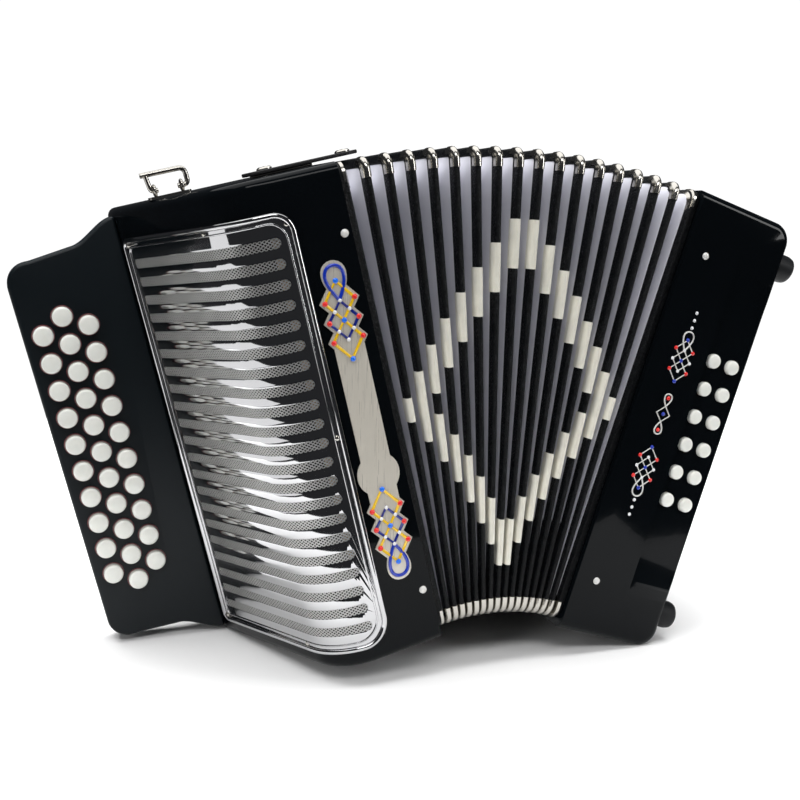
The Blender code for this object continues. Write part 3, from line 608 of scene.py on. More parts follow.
SKY_SEEN, SKY_LIT = 1.05, 0.035

world = bpy.data.worlds.new("studio")
world.use_nodes = True
bpy.context.scene.world = world
sky = world.node_tree
seen = sky.nodes.new("ShaderNodeBackground")
seen.inputs["Color"].default_value = (1, 1, 1, 1)
seen.inputs["Strength"].default_value = SKY_SEEN
lit = sky.nodes["Background"]
lit.inputs["Color"].default_value = (0.9, 0.93, 1.0, 1)
lit.inputs["Strength"].default_value = SKY_LIT
path = sky.nodes.new("ShaderNodeLightPath")
choose = sky.nodes.new("ShaderNodeMixShader")
sky.links.new(path.outputs["Is Camera Ray"], choose.inputs[0])
sky.links.new(lit.outputs[0], choose.inputs[1])
sky.links.new(seen.outputs[0], choose.inputs[2])
sky.links.new(choose.outputs[0], sky.nodes["World Output"].inputs[0])
bpy.context.scene.view_settings.view_transform = "Standard"

# %% [markdown]
# ## The treble box
# A wooden box, open towards the bellows, with one large round corner and a side that slants out to
# the fingerboard. It is a prism with rounded edges; a second prism hollows it and a third cuts the
# window that lets the sound out.

# %% Treble box
WALL, GAP, EDGE_ROUND = 6.0, 0.3, 6.0
FRONT_W, SIDE_W, ROUND_CORNER, BACK_RADIUS, BOARD_Y = 72.0, 123.4, 38.0, 12.0, 131.0
SLANT = (SIDE_W - FRONT_W) / BOARD_Y


def treble_plan(inset):
    """Plan of the treble box in (w, y), moved inwards by inset."""
    lean = math.hypot(1.0, SLANT)
    front_w = -FRONT_W + inset * (lean - SLANT)
    side_w = -SIDE_W + inset
    side_y = BOARD_Y + (inset * lean - inset) / SLANT
    return [(20, inset, 0), (front_w, inset, ROUND_CORNER - inset), (side_w, side_y, 0),
            (side_w, DEPTH - inset, BACK_RADIUS - inset), (20, DEPTH - inset, 0)]


def side_w(y):
    return -FRONT_W - SLANT * y


GRILLE_RIGHT, GRILLE_BACK, GRILLE_LOW, GRILLE_HIGH = -34.5, 126.0, 12.0, 299.0
treble_box = bevelled(solid("treble_box", prism(filleted(treble_plan(0)), "u", 0, HEIGHT)),
                      EDGE_ROUND, 5)
carve(treble_box, prism(filleted(treble_plan(WALL)), "u", WALL, HEIGHT - WALL))
carve(treble_box, prism(box_points((0, -20), (60, DEPTH + 20)), "u", -20, HEIGHT + 20))
window = [(-44.5, -20), (-44.5, 20), (-FRONT_W, 34), (side_w(118) + 20, 118), (-150, 118), (-150, -20)]
carve(treble_box, prism(window, "u", 22, 289))
placed(treble_box, TREBLE, [LACQUER])
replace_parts(treble_box, "treble_casing")
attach(treble_box, "treble")
print("treble box faces:", len(treble_box.data.polygons))

# %% [markdown]
# ## The grille
# A sheet of chromed metal with twenty-one long slots, bent round the corner. The flat sheet is a
# filled curve with round-ended holes; it is sliced into narrow strips so that it can bend, and then
# every point is wrapped along the path of the casing.

# %% The path that the sheet is bent along
SHEET, RIM_INSET = 1.1, 1.2
SLOTS, SLOT_PITCH, SLOT_HEIGHT, SLOT_LOW = 21, 12.65, 6.5, 27.9


def bend_path(stand_off):
    """Dense points in (w, y) round the corner, and their running length."""
    plan = treble_plan(-stand_off)[:3]
    start = Vector((GRILLE_RIGHT, -stand_off))
    stop_y = GRILLE_BACK
    turned = [p for p in filleted([*plan, (0, 400, 0)], 3.0)[1:]
              if p.x < GRILLE_RIGHT and p.y < stop_y - 1]
    last = Vector((side_w(stop_y) - stand_off * math.hypot(1, SLANT), stop_y))
    points = [start, *turned, last]
    lengths = [0.0]
    for near, far in zip(points, points[1:]):
        lengths.append(lengths[-1] + (far - near).length)
    return points, lengths


def wrapped(points, lengths, s, u):
    """Place and outward direction at a distance s along the bent sheet."""
    s = min(max(s, 0.0), lengths[-1] - 1e-6)
    index = max(k for k, length in enumerate(lengths) if length <= s)
    near, far = points[index], points[index + 1]
    share = (s - lengths[index]) / (lengths[index + 1] - lengths[index])
    spot = near.lerp(far, share)

    def normal(k):
        before, after = points[max(k - 1, 0)], points[min(k + 1, len(points) - 1)]
        along = (after - before).normalized()
        return Vector((along.y, -along.x))

    out = normal(index).lerp(normal(index + 1), share).normalized()
    if out.y > 0 and out.x > 0:
        out = -out
    return Vector((spot.x, spot.y, u)), Vector((out.x, out.y, 0.0))


sheet_points, sheet_lengths = bend_path(GAP)
SHEET_LENGTH = sheet_lengths[-1]
SLOT_START, SLOT_END = 14.0 - SLOT_HEIGHT / 2, SHEET_LENGTH - 9.0
print("bent sheet:", round(SHEET_LENGTH, 1), "mm long")


def filled_sheet(outlines):
    """A flat filled curve with holes, as a bmesh."""
    curve = bpy.data.curves.new("flat", "CURVE")
    curve.dimensions = "2D"
    curve.fill_mode = "BOTH"
    for outline in outlines:
        spline = curve.splines.new("POLY")
        spline.points.add(len(outline) - 1)
        for knot, point in zip(spline.points, outline):
            knot.co = (point[0], point[1], 0.0, 1.0)
        spline.use_cyclic_u = True
    carrier = bpy.data.objects.new("flat", curve)
    bpy.context.scene.collection.objects.link(carrier)
    bpy.context.view_layer.update()
    graph = bpy.context.evaluated_depsgraph_get()
    mesh = bpy.data.meshes.new_from_object(carrier.evaluated_get(graph))
    shape = bmesh.new()
    shape.from_mesh(mesh)
    bpy.data.objects.remove(carrier, do_unlink=True)
    bmesh.ops.remove_doubles(shape, verts=shape.verts[:], dist=1e-4)
    return shape


# %% [markdown]
# ## Bending the sheet
# The flat sheet is cut into strips, wrapped round the corner and made 1.1 mm thick. Two chromed
# beads follow its edge, and small domed screws hold it to the casing.

# %% Grille sheet, rim and screws
rim_outline = filleted([(0, GRILLE_LOW, 18), (SHEET_LENGTH, GRILLE_LOW, 6),
                        (SHEET_LENGTH, GRILLE_HIGH, 6), (0, GRILLE_HIGH, 13)])
slot_centres = [SLOT_LOW + SLOT_PITCH * index for index in range(SLOTS)]
holes = [filleted([(SLOT_START, c - SLOT_HEIGHT / 2, 3.2), (SLOT_END, c - SLOT_HEIGHT / 2, 3.2),
                   (SLOT_END, c + SLOT_HEIGHT / 2, 3.2), (SLOT_START, c + SLOT_HEIGHT / 2, 3.2)], 15)
         for c in slot_centres]
flat = filled_sheet([rim_outline, *holes])
for length in sheet_lengths[1:-1]:
    bmesh.ops.bisect_plane(flat, geom=flat.verts[:] + flat.edges[:] + flat.faces[:],
                           plane_co=(length, 0, 0), plane_no=(1, 0, 0))
for vert in flat.verts:
    vert.co = wrapped(sheet_points, sheet_lengths, vert.co.x, vert.co.y)[0]
bmesh.ops.recalc_face_normals(flat, faces=flat.faces[:])
if sum(face.normal.y for face in flat.faces) > 0:
    bmesh.ops.reverse_faces(flat, faces=flat.faces[:])
grille = walled(solid("grille_sheet", flat, outward=False), SHEET, 1.0)
bevelled(grille, 0.35, 2, 60)
placed(grille, TREBLE, [CHROME], 40)
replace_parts(grille, "grille")
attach(grille, "treble")

rim_path = filleted([(RIM_INSET, GRILLE_LOW + RIM_INSET, 17),
                     (SHEET_LENGTH - RIM_INSET, GRILLE_LOW + RIM_INSET, 5),
                     (SHEET_LENGTH - RIM_INSET, GRILLE_HIGH - RIM_INSET, 5),
                     (RIM_INSET, GRILLE_HIGH - RIM_INSET, 12)])
dense = []
for (s0, u0), (s1, u1) in zip(rim_path, rim_path[1:] + rim_path[:1]):
    pieces_between = max(1, int(abs(s1 - s0) / 3))
    dense += [(s0 + (s1 - s0) * k / pieces_between, u0 + (u1 - u0) * k / pieces_between)
              for k in range(pieces_between)]


def bead(inset, radius):
    """A chromed bead that follows the edge of the sheet."""
    middle_s, middle_u = SHEET_LENGTH / 2, (GRILLE_LOW + GRILLE_HIGH) / 2
    spots = []
    for s, u in dense:
        s = middle_s + (s - middle_s) * (1 - inset / middle_s)
        u = middle_u + (u - middle_u) * (1 - inset / (middle_u - GRILLE_LOW))
        spot, out = wrapped(sheet_points, sheet_lengths, s, u)
        spots.append(spot + out * SHEET)
    return tube(spots, radius, closed=True)


rim = placed(solid("grille_rim", join_into(bead(0.6, 1.9), bead(5.0, 0.7))), TREBLE, [CHROME], 60)
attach(rim, "treble")


def dome(radius, height, steps=5):
    """Profile of a domed head, from its flat foot to its crown."""
    turns = [math.pi / 2 * k / steps for k in range(1, steps)]
    return [(radius, 0.0), *((radius * math.cos(a), height * math.sin(a)) for a in turns), (0, height)]


def facing(out):
    """Turn that points a shape's own z along a direction."""
    return Vector(out).to_track_quat("Z", "Y").to_euler()


rim_screws = []
for s, u in ((5, GRILLE_LOW + 8), (5, GRILLE_HIGH - 8), (5, 155), (SHEET_LENGTH - 5, GRILLE_LOW + 5),
             (SHEET_LENGTH - 5, GRILLE_HIGH - 5), (62, GRILLE_HIGH - 4.5), (62, GRILLE_LOW + 5)):
    spot, out = wrapped(sheet_points, sheet_lengths, s, u)
    rim_screws.append((spot + out * SHEET, facing(out), 1.0))
screws = copies("grille_screws", lathe(dome(1.9, 1.1), "u", (0, 0), 20), rim_screws, TREBLE, NICKEL)
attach(screws, "treble")

# %% [markdown]
# ## The silver mesh
# Behind each slot runs a strip of expanded metal: strands that cross and leave diamond holes. One
# crossing is modelled, and the copying tree sets it all along the bend.

# %% Expanded mesh behind the slots
MESH_S, MESH_U = 2.9, 2.17
mesh_points, mesh_lengths = bend_path(GAP + 0.55)


def crossing():
    """Two flat strands that cross; their ends meet those of the next crossing."""
    shape = bmesh.new()
    half_s, half_u, strand, thick = MESH_S / 2, MESH_U / 2, 0.31, 0.2
    for lean in (-1, 1):
        along = Vector((half_s, half_u * lean))
        across = Vector((-along.y, along.x)).normalized() * strand
        outline = [-along - across, along - across, along + across, -along + across]
        prism([(p.x, p.y) for p in outline], "u", -thick, thick * (1 + 0.3 * lean), shape)
    return shape


mesh_spots = []
for centre in slot_centres:
    for row in (-1.5, -0.5, 0.5, 1.5):
        for column in range(int((SLOT_END - SLOT_START + 2) / MESH_S)):
            s = SLOT_START - 0.5 + MESH_S * (column + 0.5)
            spot, out = wrapped(mesh_points, mesh_lengths, s, centre + row * MESH_U)
            along = Vector((0, 0, 1)).cross(out)
            turned = Matrix((along, Vector((0, 0, 1)), out)).transposed().to_euler()
            mesh_spots.append((spot, turned, 1.0))
mesh_strips = copies("slot_mesh", crossing(), mesh_spots, TREBLE, MESH_METAL)
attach(mesh_strips, "treble")

# %% [markdown]
# ## The fingerboard
# A thin satin board beside the treble box, widest where it joins it. Thirty-one bored holes carry
# the buttons, and a ring of red felt lines each hole.

# %% Fingerboard and felt
BOARD_DEPTH, BOARD_TIP, ROOT_HALF, TIP_HALF, BOARD_CORNER = 24.0, -203.5, 155.0, 138.0, 15.0
SHOULDER_W, FLAT_W = -157.0, -185.0


def board_half_height(w):
    root = -SIDE_W - GAP
    if w < SHOULDER_W:
        share = (w - SHOULDER_W) / (FLAT_W - SHOULDER_W)
        return TIP_HALF + 3 * (1 - min(share, 1))
    share = (root - w) / (root - SHOULDER_W)
    ease = share * share * (3 - 2 * share)
    return ROOT_HALF + (TIP_HALF + 3 - ROOT_HALF) * ease


def board_outline():
    root, middle = -SIDE_W - GAP, HEIGHT / 2
    edge = [root + (SHOULDER_W - root) * step / 14 for step in range(15)]
    edge += [SHOULDER_W + (FLAT_W - SHOULDER_W) * step / 4 for step in range(1, 5)]
    upper = [(w, middle + board_half_height(w)) for w in edge]
    corner = [(BOARD_TIP + BOARD_CORNER * (1 - math.sin(a)),
               middle + TIP_HALF - BOARD_CORNER * (1 - math.cos(a)))
              for a in (math.pi / 2 * k / 12 for k in range(13))]
    upper += [point for point in corner if point[0] < FLAT_W - 0.5]
    return upper + [(w, 2 * middle - u) for w, u in reversed(upper)]


BUTTON_PITCH, MIDDLE_W, ROW_OFFSET, TOP_U = 19.55, -174.8, 15.4, 257.5
TREBLE_BUTTON, TREBLE_BORE, TREBLE_PROUD, BASS_PROUD = 6.75, 7.6, 5.8, 4.0


def treble_buttons():
    for row, shift, half_step, count in (("outer", -ROW_OFFSET, 0.5, 10), ("middle", 0.0, 0.0, 11),
                                         ("inner", ROW_OFFSET, 0.5, 10)):
        for index in range(count):
            yield (f"treble_button_{row}_{index + 1:02d}", MIDDLE_W + shift,
                   TOP_U - BUTTON_PITCH * (index + half_step))


board = bevelled(solid("finger_board", prism(board_outline(), "y", BOARD_Y, BOARD_Y + BOARD_DEPTH)),
                 2.2, 4)
bores = bmesh.new()
for _, w, u in treble_buttons():
    lathe([(TREBLE_BORE, BOARD_Y - 10), (TREBLE_BORE, BOARD_Y + 20)], "y", (w, u), 40, bores)
carve(board, bores)
placed(board, TREBLE, [BOARD])
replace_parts(board, "fingerboard")
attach(board, "treble")

ring = [(6.95, 0.4), (7.2, 0.0), (7.55, 0.25), (TREBLE_BORE, 6.0), (6.95, 6.0), (6.95, 0.4)]
felt_ring = bmesh.new()
felt_rows = [[felt_ring.verts.new((r * math.cos(a), h, r * math.sin(a)))
              for a in (2 * math.pi * k / 36 for k in range(36))] for r, h in ring[:-1]]
for near, far in zip(felt_rows, felt_rows[1:] + felt_rows[:1]):
    for k in range(36):
        felt_ring.faces.new((near[k], near[(k + 1) % 36], far[(k + 1) % 36], far[k]))
felts = copies("felt_rings", felt_ring, [(Vector((w, BOARD_Y - 0.45, u)), NO_TURN, 1.0)
                                         for _, w, u in treble_buttons()], TREBLE, FELT)
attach(felts, "treble")

# %% [markdown]
# ## The buttons
# Each button is a pearl cap with a soft crown and a rounded rim. All of them are turned from the
# same profile, and each rides on its own body because each one can be pressed.

# %% Pearl buttons
def button_profile(radius, length):
    """From the crown, which is at 0, down the stem."""
    rim, dish = 1.7, 0.35
    crown = [(0.0, 0.0), (radius * 0.35, 0.05), (radius - rim, dish)]
    edge = [(radius - rim + rim * math.sin(a), dish + rim * (1 - math.cos(a)))
            for a in (math.pi / 2 * k / 5 for k in range(1, 6))]
    return crown + edge + [(radius, length)]


def pearl_button(node, home, w, y, u, radius, length):
    profile = [(r, y + h) for r, h in button_profile(radius, length)]
    cap = placed(solid(node + "_pearl", lathe(profile, "y", (w, u), 36)), home, [PEARL], 50)
    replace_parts(cap, node)
    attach(cap, node)


for node, w, u in treble_buttons():
    pearl_button(node, TREBLE, w, BOARD_Y - TREBLE_PROUD, u, TREBLE_BUTTON, 16.0)

BASS_BUTTON, BASS_PITCH, BASS_COLUMNS, BASS_TOP, RECESS = 5.2, 20.8, (52.6, 69.3), 211.9, 3.5
AIR_BUTTON, AIR_PROUD, AIR_PLACE = 7.0, 7.0, (150.0, 236.0)
BORE_CLEAR = 0.4


def bass_buttons():
    for column, w in zip(("inner", "outer"), BASS_COLUMNS):
        for index in range(6):
            yield f"bass_button_{column}_{index + 1:02d}", w, BASS_TOP - BASS_PITCH * index


for node, w, u in bass_buttons():
    pearl_button(node, BASS, w, RECESS - BASS_PROUD, u, BASS_BUTTON, 12.0)
print("buttons:", len([*treble_buttons(), *bass_buttons()]))

# %% [markdown]
# ## The bass box
# The box for the left hand. Its front steps back into a shallow bay round the buttons, whose two
# ends rise in an S curve, so that the light breaks there.

# %% Bass box
BASS_W, BASS_CORNER, BAY_W, BAY_LOW, BAY_HIGH, BAY_RAMP = 81.7, 14.0, 45.0, 66.0, 250.0, 36.0
FRONT_WALL = 9.0


def bay_profile():
    """Outline of the bay in (y, u)."""
    ramp = [(RECESS * s * s * (3 - 2 * s), s) for s in (k / 14 for k in range(15))]
    lower = [(y, BAY_LOW - BAY_RAMP * (1 - s)) for y, s in ramp]
    upper = [(y, BAY_HIGH + (BAY_RAMP + 6) * (1 - s)) for y, s in reversed(ramp)]
    return [(-8, BAY_LOW - BAY_RAMP)] + lower + upper + [(-8, BAY_HIGH + BAY_RAMP + 6)]


bass_outline = filleted([(-20, 0, 0), (BASS_W, 0, BASS_CORNER), (BASS_W, HEIGHT, BASS_CORNER),
                         (-20, HEIGHT, 0)], 5.0)
bass_box = bevelled(solid("bass_box", prism(bass_outline, "y", 0, DEPTH)), EDGE_ROUND, 5)
bass_hollow = box_points((-30, WALL), (BASS_W - WALL, HEIGHT - WALL))
carve(bass_box, prism(bass_hollow, "y", FRONT_WALL, DEPTH - WALL))
carve(bass_box, prism(box_points((-60, -20), (0, DEPTH + 20)), "u", -20, HEIGHT + 20))
carve(bass_box, prism(bay_profile(), "w", BAY_W, BASS_W + 20))
bores = bmesh.new()
for _, w, u in bass_buttons():
    lathe([(BASS_BUTTON + BORE_CLEAR, -5), (BASS_BUTTON + BORE_CLEAR, FRONT_WALL + 2)], "y", (w, u), 36,
          bores)
lathe([(AIR_BUTTON + BORE_CLEAR, BASS_W - WALL - 2), (AIR_BUTTON + BORE_CLEAR, BASS_W + 5)], "w",
      AIR_PLACE, 36, bores)
carve(bass_box, bores)
placed(bass_box, BASS, [LACQUER])
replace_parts(bass_box, "bass_casing")
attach(bass_box, "bass")

# %% [markdown]
# ## Screws of the boxes
# Small round-headed pins hold the boxes to the bellows frames. The same dome is copied to the four
# places on the fronts and, mirrored, to the backs.

# %% Frame pins
FRONTWARD, BACKWARD = facing((0, -1, 0)), facing((0, 1, 0))


def pins(name, home, body, spots):
    shape = lathe(dome(2.6, 1.6), "u", (0, 0), 24)
    places = [(Vector((w, 0.0, u)), FRONTWARD, 1.0) for w, u in spots]
    places += [(Vector((w, DEPTH, u)), BACKWARD, 1.0) for w, u in spots]
    group = copies(name, shape, places, home, SCREW_PEARL)
    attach(group, body)


pins("treble_frame_pins", TREBLE, "treble", ((-5.0, 277.0), (-6.0, 38.2)))
pins("bass_frame_pins", BASS, "bass", ((16.5, 278.0), (16.5, 39.0)))

# %% [markdown]
# ## The bellows
# Seventeen folds. Where two cards meet at an outer ridge, grained tape binds them, and deeper in
# the groove the lavender card shows. The ridges stand on a fan of planes, so a ridge is a band
# swept round a rounded rectangle on its own plane, and a groove is a loft between two planes.

# %% The fan of planes
FOLDS, FAN, PITCH, MARGIN = 17, math.radians(32.0), 4.8, 4.1
FOLD_DEPTH, INSET_Y, LOW_U, HIGH_U, LOOP_RADIUS = 20.0, 4.0, 5.0, 319.0, 8.0
WIDTH_LOW, WIDTH_HIGH, TAPE_DEPTH = 2.9, 3.2, 6.0


def fan_pose(station):
    fold = FAN / FOLDS
    half = Matrix.Translation((PITCH / 2, 0, 0))
    pose = Matrix.Translation((MARGIN, 0, 0))
    for _ in range(int(station)):
        pose = pose @ half @ Matrix.Rotation(fold, 4, "Y") @ half
    if station % 1:
        pose = pose @ half @ Matrix.Rotation(fold / 2, 4, "Y")
    return pose


POSES = {k / 2: fan_pose(k / 2) for k in range(2 * FOLDS + 1)}


def loop_at(depth, arc=15.0):
    """Rounded rectangle in (y, u), starting low at the front and running to the back."""
    low_y, high_y = INSET_Y + depth, DEPTH - INSET_Y - depth
    low_u, high_u = LOW_U + depth, HIGH_U - depth
    return filleted([(low_y, low_u, LOOP_RADIUS), (high_y, low_u, LOOP_RADIUS),
                     (high_y, high_u, LOOP_RADIUS), (low_y, high_u, LOOP_RADIUS)], arc)


def half_width(u):
    return (WIDTH_LOW + (WIDTH_HIGH - WIDTH_LOW) * (u - LOW_U) / (HIGH_U - LOW_U)) / 2


def fold_point(ridge, side, depth, outer, inner):
    """A point on the card that runs from a ridge towards the valley on one side of it."""
    station = ridge + side / 2
    y, u = outer
    top = POSES[ridge] @ Vector((side * half_width(u), y, u))
    bottom = POSES[station] @ Vector((-side * 0.5, inner[0], inner[1]))
    return top.lerp(bottom, depth / FOLD_DEPTH)


OUTER, INNER = loop_at(0.0), loop_at(FOLD_DEPTH)
NOSE = 1.3


def outwards(point):
    """Outward direction of the outer loop at one of its points."""
    low = Vector((INSET_Y + LOOP_RADIUS, LOW_U + LOOP_RADIUS))
    high = Vector((DEPTH - INSET_Y - LOOP_RADIUS, HIGH_U - LOOP_RADIUS))
    centre = Vector((min(max(point[0], low.x), high.x), min(max(point[1], low.y), high.y)))
    return (Vector(point) - centre).normalized()


def swept(rows, closed, index, shape):
    """Skins rows of points; a closed skin joins the last column to the first."""
    grid = [[shape.verts.new(p) for p in row] for row in rows]
    count = len(grid[0])
    for near, far in zip(grid, grid[1:]):
        for k in range(count if closed else count - 1):
            after = (k + 1) % count
            face = shape.faces.new((near[k], near[after], far[after], far[k]))
            face.material_index = index


def binding(ridge, lift, depth, path):
    """Rows across a ridge: up one side, over its rounded nose and down the other side."""
    pose = POSES[ridge]
    flat = pose.inverted()
    rows = []
    for side in (-1, 1):
        flanks = [[pose @ Vector(((flat @ fold_point(ridge, side, drop, outer, inner)).x + side * lift,
                                  *(outer - outwards(outer) * drop)))
                   for outer, inner in path] for drop in (depth, depth / 2, NOSE)]
        arc = []
        for angle in (60, 30):
            row = []
            for outer, inner in path:
                out = outwards(outer)
                lean = math.radians(angle)
                across = side * (half_width(outer[1]) + lift) * math.sin(lean)
                rise = (NOSE + lift) * math.cos(lean) - NOSE
                row.append(pose @ Vector((across, outer[0] + out.x * rise, outer[1] + out.y * rise)))
            arc.append(row)
        rows += flanks + arc if side < 0 else [*reversed(flanks + arc)]
    crest = []
    for outer, inner in path:
        out = outwards(outer) * lift
        crest.append(pose @ Vector((0, outer[0] + out.x, outer[1] + out.y)))
    rows.insert(len(rows) // 2, crest)
    return rows


# %% [markdown]
# ## Place in the fan
# Each ridge and card works out its share of its half of the fan, the one that would make the planes
# turn by equal steps from one end to the other. The piece itself is baked where it stands and is tied to
# no body.

# %% Where a fold sits in the fan
TOP_PITCH = 15.3


def inverse_smoothstep(weight):
    return 0.5 - math.sin(math.asin(1 - 2 * weight) / 3)


def follow_fan(piece, station):
    """Works out a piece's share and reach in its half of the fan, then bakes the piece where it stands.
    """
    left = station <= FOLDS / 2
    half = FOLDS / 2
    weight = station / half if left else (station - half) / half
    weight = min(max(weight, 0.004), 0.996)
    x = inverse_smoothstep(weight)
    slope = 6 * x * (1 - x)
    reach = TOP_PITCH * half * slope
    across = (POSES[station].to_3x3() @ Vector((1, 0, 0))) * reach
    start = POSES[station].translation - across * x
    TREBLE @ (start * MM)
    TREBLE @ ((start + across) * MM)
    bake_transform(piece)


# %% [markdown]
# ## The ridges
# A ridge is one closed band of tape round the whole bellows. Shorter bands lie over it: cream
# segments up the front, whose ends step from ridge to ridge and so draw a diamond, and a bent
# metal clip on each of the four corners.

# %% Ridges with tape, cream segments and corner clips
DIAMOND_U, DIAMOND_HALF, DIAMOND_STEP, DIAMOND_BAND = 157.0, 116.5, 15.5, 32.0
TAPE_LIFT, CREAM_LIFT, CLIP_LIFT = 0.15, 0.5, 0.65
CLIP_DEPTH, CLIP_END, TAPE_WALL, CARD_WALL = 4.0, 4.5, 0.35, 0.5


def cream_spans(ridge):
    """The u spans of a ridge's front that are cream, which together draw a diamond."""
    outer = DIAMOND_HALF - DIAMOND_STEP * (abs(ridge - FOLDS / 2) - 0.5)
    inner = outer - DIAMOND_BAND
    if outer <= 0:
        return []
    if inner <= 0:
        return [(DIAMOND_U - outer, DIAMOND_U + outer)]
    return [(DIAMOND_U - outer, DIAMOND_U - inner), (DIAMOND_U + inner, DIAMOND_U + outer)]


def corner_paths():
    """The four short stretches of the loop, round its corners, that carry a metal clip."""
    paths = []
    count = len(OUTER) // 4
    for corner in range(4):
        path = [(Vector(OUTER[k]), Vector(INNER[k]))
                for k in range(corner * count, (corner + 1) * count)]
        ends = []
        for (outer, inner), (nearest, _) in ((path[0], path[1]), (path[-1], path[-2])):
            out = outwards(outer)
            along = Vector((-out.y, out.x)) * CLIP_END
            if along.dot(outer - nearest) < 0:
                along.negate()
            ends.append((outer + along, inner + along))
        paths.append([ends[0], *path, ends[1]])
    return paths


def front_path(low, high):
    """The stretch of the loop up the front between two heights."""
    squeeze = (HIGH_U - LOW_U - 2 * (FOLD_DEPTH + LOOP_RADIUS)) / (HIGH_U - LOW_U - 2 * LOOP_RADIUS)
    middle = (LOW_U + HIGH_U) / 2
    return [(Vector((INSET_Y, u)), Vector((INSET_Y + FOLD_DEPTH, middle + (u - middle) * squeeze)))
            for u in (low, (low + high) / 2, high)]


WHOLE_LOOP = [(Vector(outer), Vector(inner)) for outer, inner in zip(OUTER, INNER)]
CLIPS = corner_paths()


def ridge_piece(ridge):
    shape = bmesh.new()
    swept(binding(ridge, TAPE_LIFT, TAPE_DEPTH, WHOLE_LOOP), True, 0, shape)
    for low, high in cream_spans(ridge):
        swept(binding(ridge, CREAM_LIFT, TAPE_DEPTH + 0.6, front_path(low, high)), False, 1, shape)
    for path in CLIPS:
        swept(binding(ridge, CLIP_LIFT, CLIP_DEPTH, path), False, 2, shape)
    return shape


for ridge in range(1, FOLDS):
    piece = solid(f"bellows_ridge_{ridge:02d}", ridge_piece(ridge))
    for finish in (TAPE, CREAM, NICKEL):
        piece.data.materials.append(finish)
    walled(piece, TAPE_WALL)
    placed(piece, TREBLE, [TAPE, CREAM, NICKEL], 40)
    follow_fan(piece, float(ridge))

# %% [markdown]
# ## The cards
# Between two ridges a folded card runs down to the valley and up again. Its edges start under the
# tape, so that no slit opens there.

# %% Cards in the grooves
for groove in range(FOLDS):
    shape = bmesh.new()
    rows = []
    for ridge, side in ((groove, 1), (groove + 1, -1)):
        steps = [TAPE_DEPTH - 2.0, 10.0, 15.0, FOLD_DEPTH]
        for depth in steps if side > 0 else reversed(steps):
            rows.append([fold_point(ridge, side, depth, o, i) for o, i in WHOLE_LOOP])
    swept(rows, True, 0, shape)
    piece = walled(solid(f"bellows_card_{groove + 1:02d}", shape), CARD_WALL)
    placed(piece, TREBLE, [CARD], 30)
    if groove == 0:
        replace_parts(piece, "bellows_left", "bellows_right")
    follow_fan(piece, groove + 0.5)

# %% [markdown]
# ## The two end frames
# The first and the last ridge are stiff and lie flat against their boxes. A fold starts on the
# other side of each, and their clips reach down that side only.

# %% End frames, which are pinned to the boxes
def end_frame(name, ridge, side, body, node):
    """A stiff ridge: flat against its box, with clips over its nose and its folded side."""
    shape = bmesh.new()
    rows = [[POSES[ridge] @ Vector((-side * (MARGIN - GAP), y, u)) for y, u in loop_at(14.0)],
            [POSES[ridge] @ Vector((-side * (MARGIN - GAP), y, u)) for y, u in loop_at(0.6)],
            [POSES[ridge] @ Vector((-side * (MARGIN - GAP - 0.6), y, u)) for y, u in OUTER],
            [POSES[ridge] @ Vector((side * 0.5 * half_width(u), y, u)) for y, u in OUTER]]
    for depth in (NOSE, TAPE_DEPTH):
        rows.append([fold_point(ridge, side, depth, o, i) for o, i in WHOLE_LOOP])
    swept(rows, True, 0, shape)
    for path in CLIPS:
        nose = [[POSES[ridge] @ Vector((across, *(outer + outwards(outer) * 0.35)))
                 for outer, _ in path] for across in (-side * 1.0, side * 1.0)]
        flank = [fold_point(ridge, side, CLIP_DEPTH, outer, inner)
                 + POSES[ridge].to_3x3() @ Vector((side * 0.5, 0, 0)) for outer, inner in path]
        swept([*nose, flank], False, 1, shape)
    piece = solid(name, shape)
    for finish in (TAPE, NICKEL):
        piece.data.materials.append(finish)
    walled(piece, CARD_WALL)
    placed(piece, TREBLE, [TAPE, NICKEL], 35)
    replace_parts(piece, node)
    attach(piece, body)


end_frame("treble_end_frame", 0, 1, "treble", "treble_bellows_frame")
end_frame("bass_end_frame", FOLDS, -1, "bass", "bass_bellows_frame")
print("bellows pieces:", 2 * FOLDS + 1)

# %% [markdown]
# ## The plate on the treble front
# A plate of champagne-coloured metal runs down the front. Its middle is plain. Each end is cut to
# the outline of an enamelled knot: three interlaced diamonds and a teardrop, with small stones.

# %% The knot, as outlines in (w, u)
def diamond(centre, half_w, half_u):
    w, u = centre
    return [(w - half_w, u), (w, u + half_u), (w + half_w, u), (w, u - half_u)]


def teardrop(tip, length, radius, direction, sides=28):
    """A loop that starts as a point at its tip and ends round."""
    w, u = tip
    return [(w + radius * math.sin(a) * math.sin(a / 2) ** 1.2,
             u + direction * length * (1 - math.cos(a)) / 2)
            for a in (2 * math.pi * k / sides for k in range(sides))]


class Knot:
    """Three interlaced diamonds and a teardrop, stacked from a base upwards or downwards."""

    def __init__(self, line, base, direction, half_w, half_u, drop, drop_radius):
        self.line, self.base, self.direction = line, base, direction
        self.half_w, self.half_u = half_w, half_u
        self.drop, self.drop_radius = drop, drop_radius

    def at(self, offset, up):
        return (self.line + offset, self.base + self.direction * up)

    def diamonds(self, grow=0.0):
        return [diamond(self.at(0, self.half_u * (k + 1)), self.half_w + grow,
                        self.half_u + grow * self.half_u / self.half_w) for k in range(3)]

    def loop(self, grow=0.0):
        start = self.at(0, 3 * self.half_u - grow)
        return teardrop(start, self.drop + 2 * grow, self.drop_radius + grow, self.direction)

    def sides(self, which):
        return [self.at(side * self.half_w, self.half_u * (k + 1)) for k in which for side in (-1, 1)]


def beads(outlines, radius, y):
    shape = bmesh.new()
    for outline in outlines:
        join_into(shape, tube([(w, y, u) for w, u in outline], radius, closed=True, sides=8))
    return shape


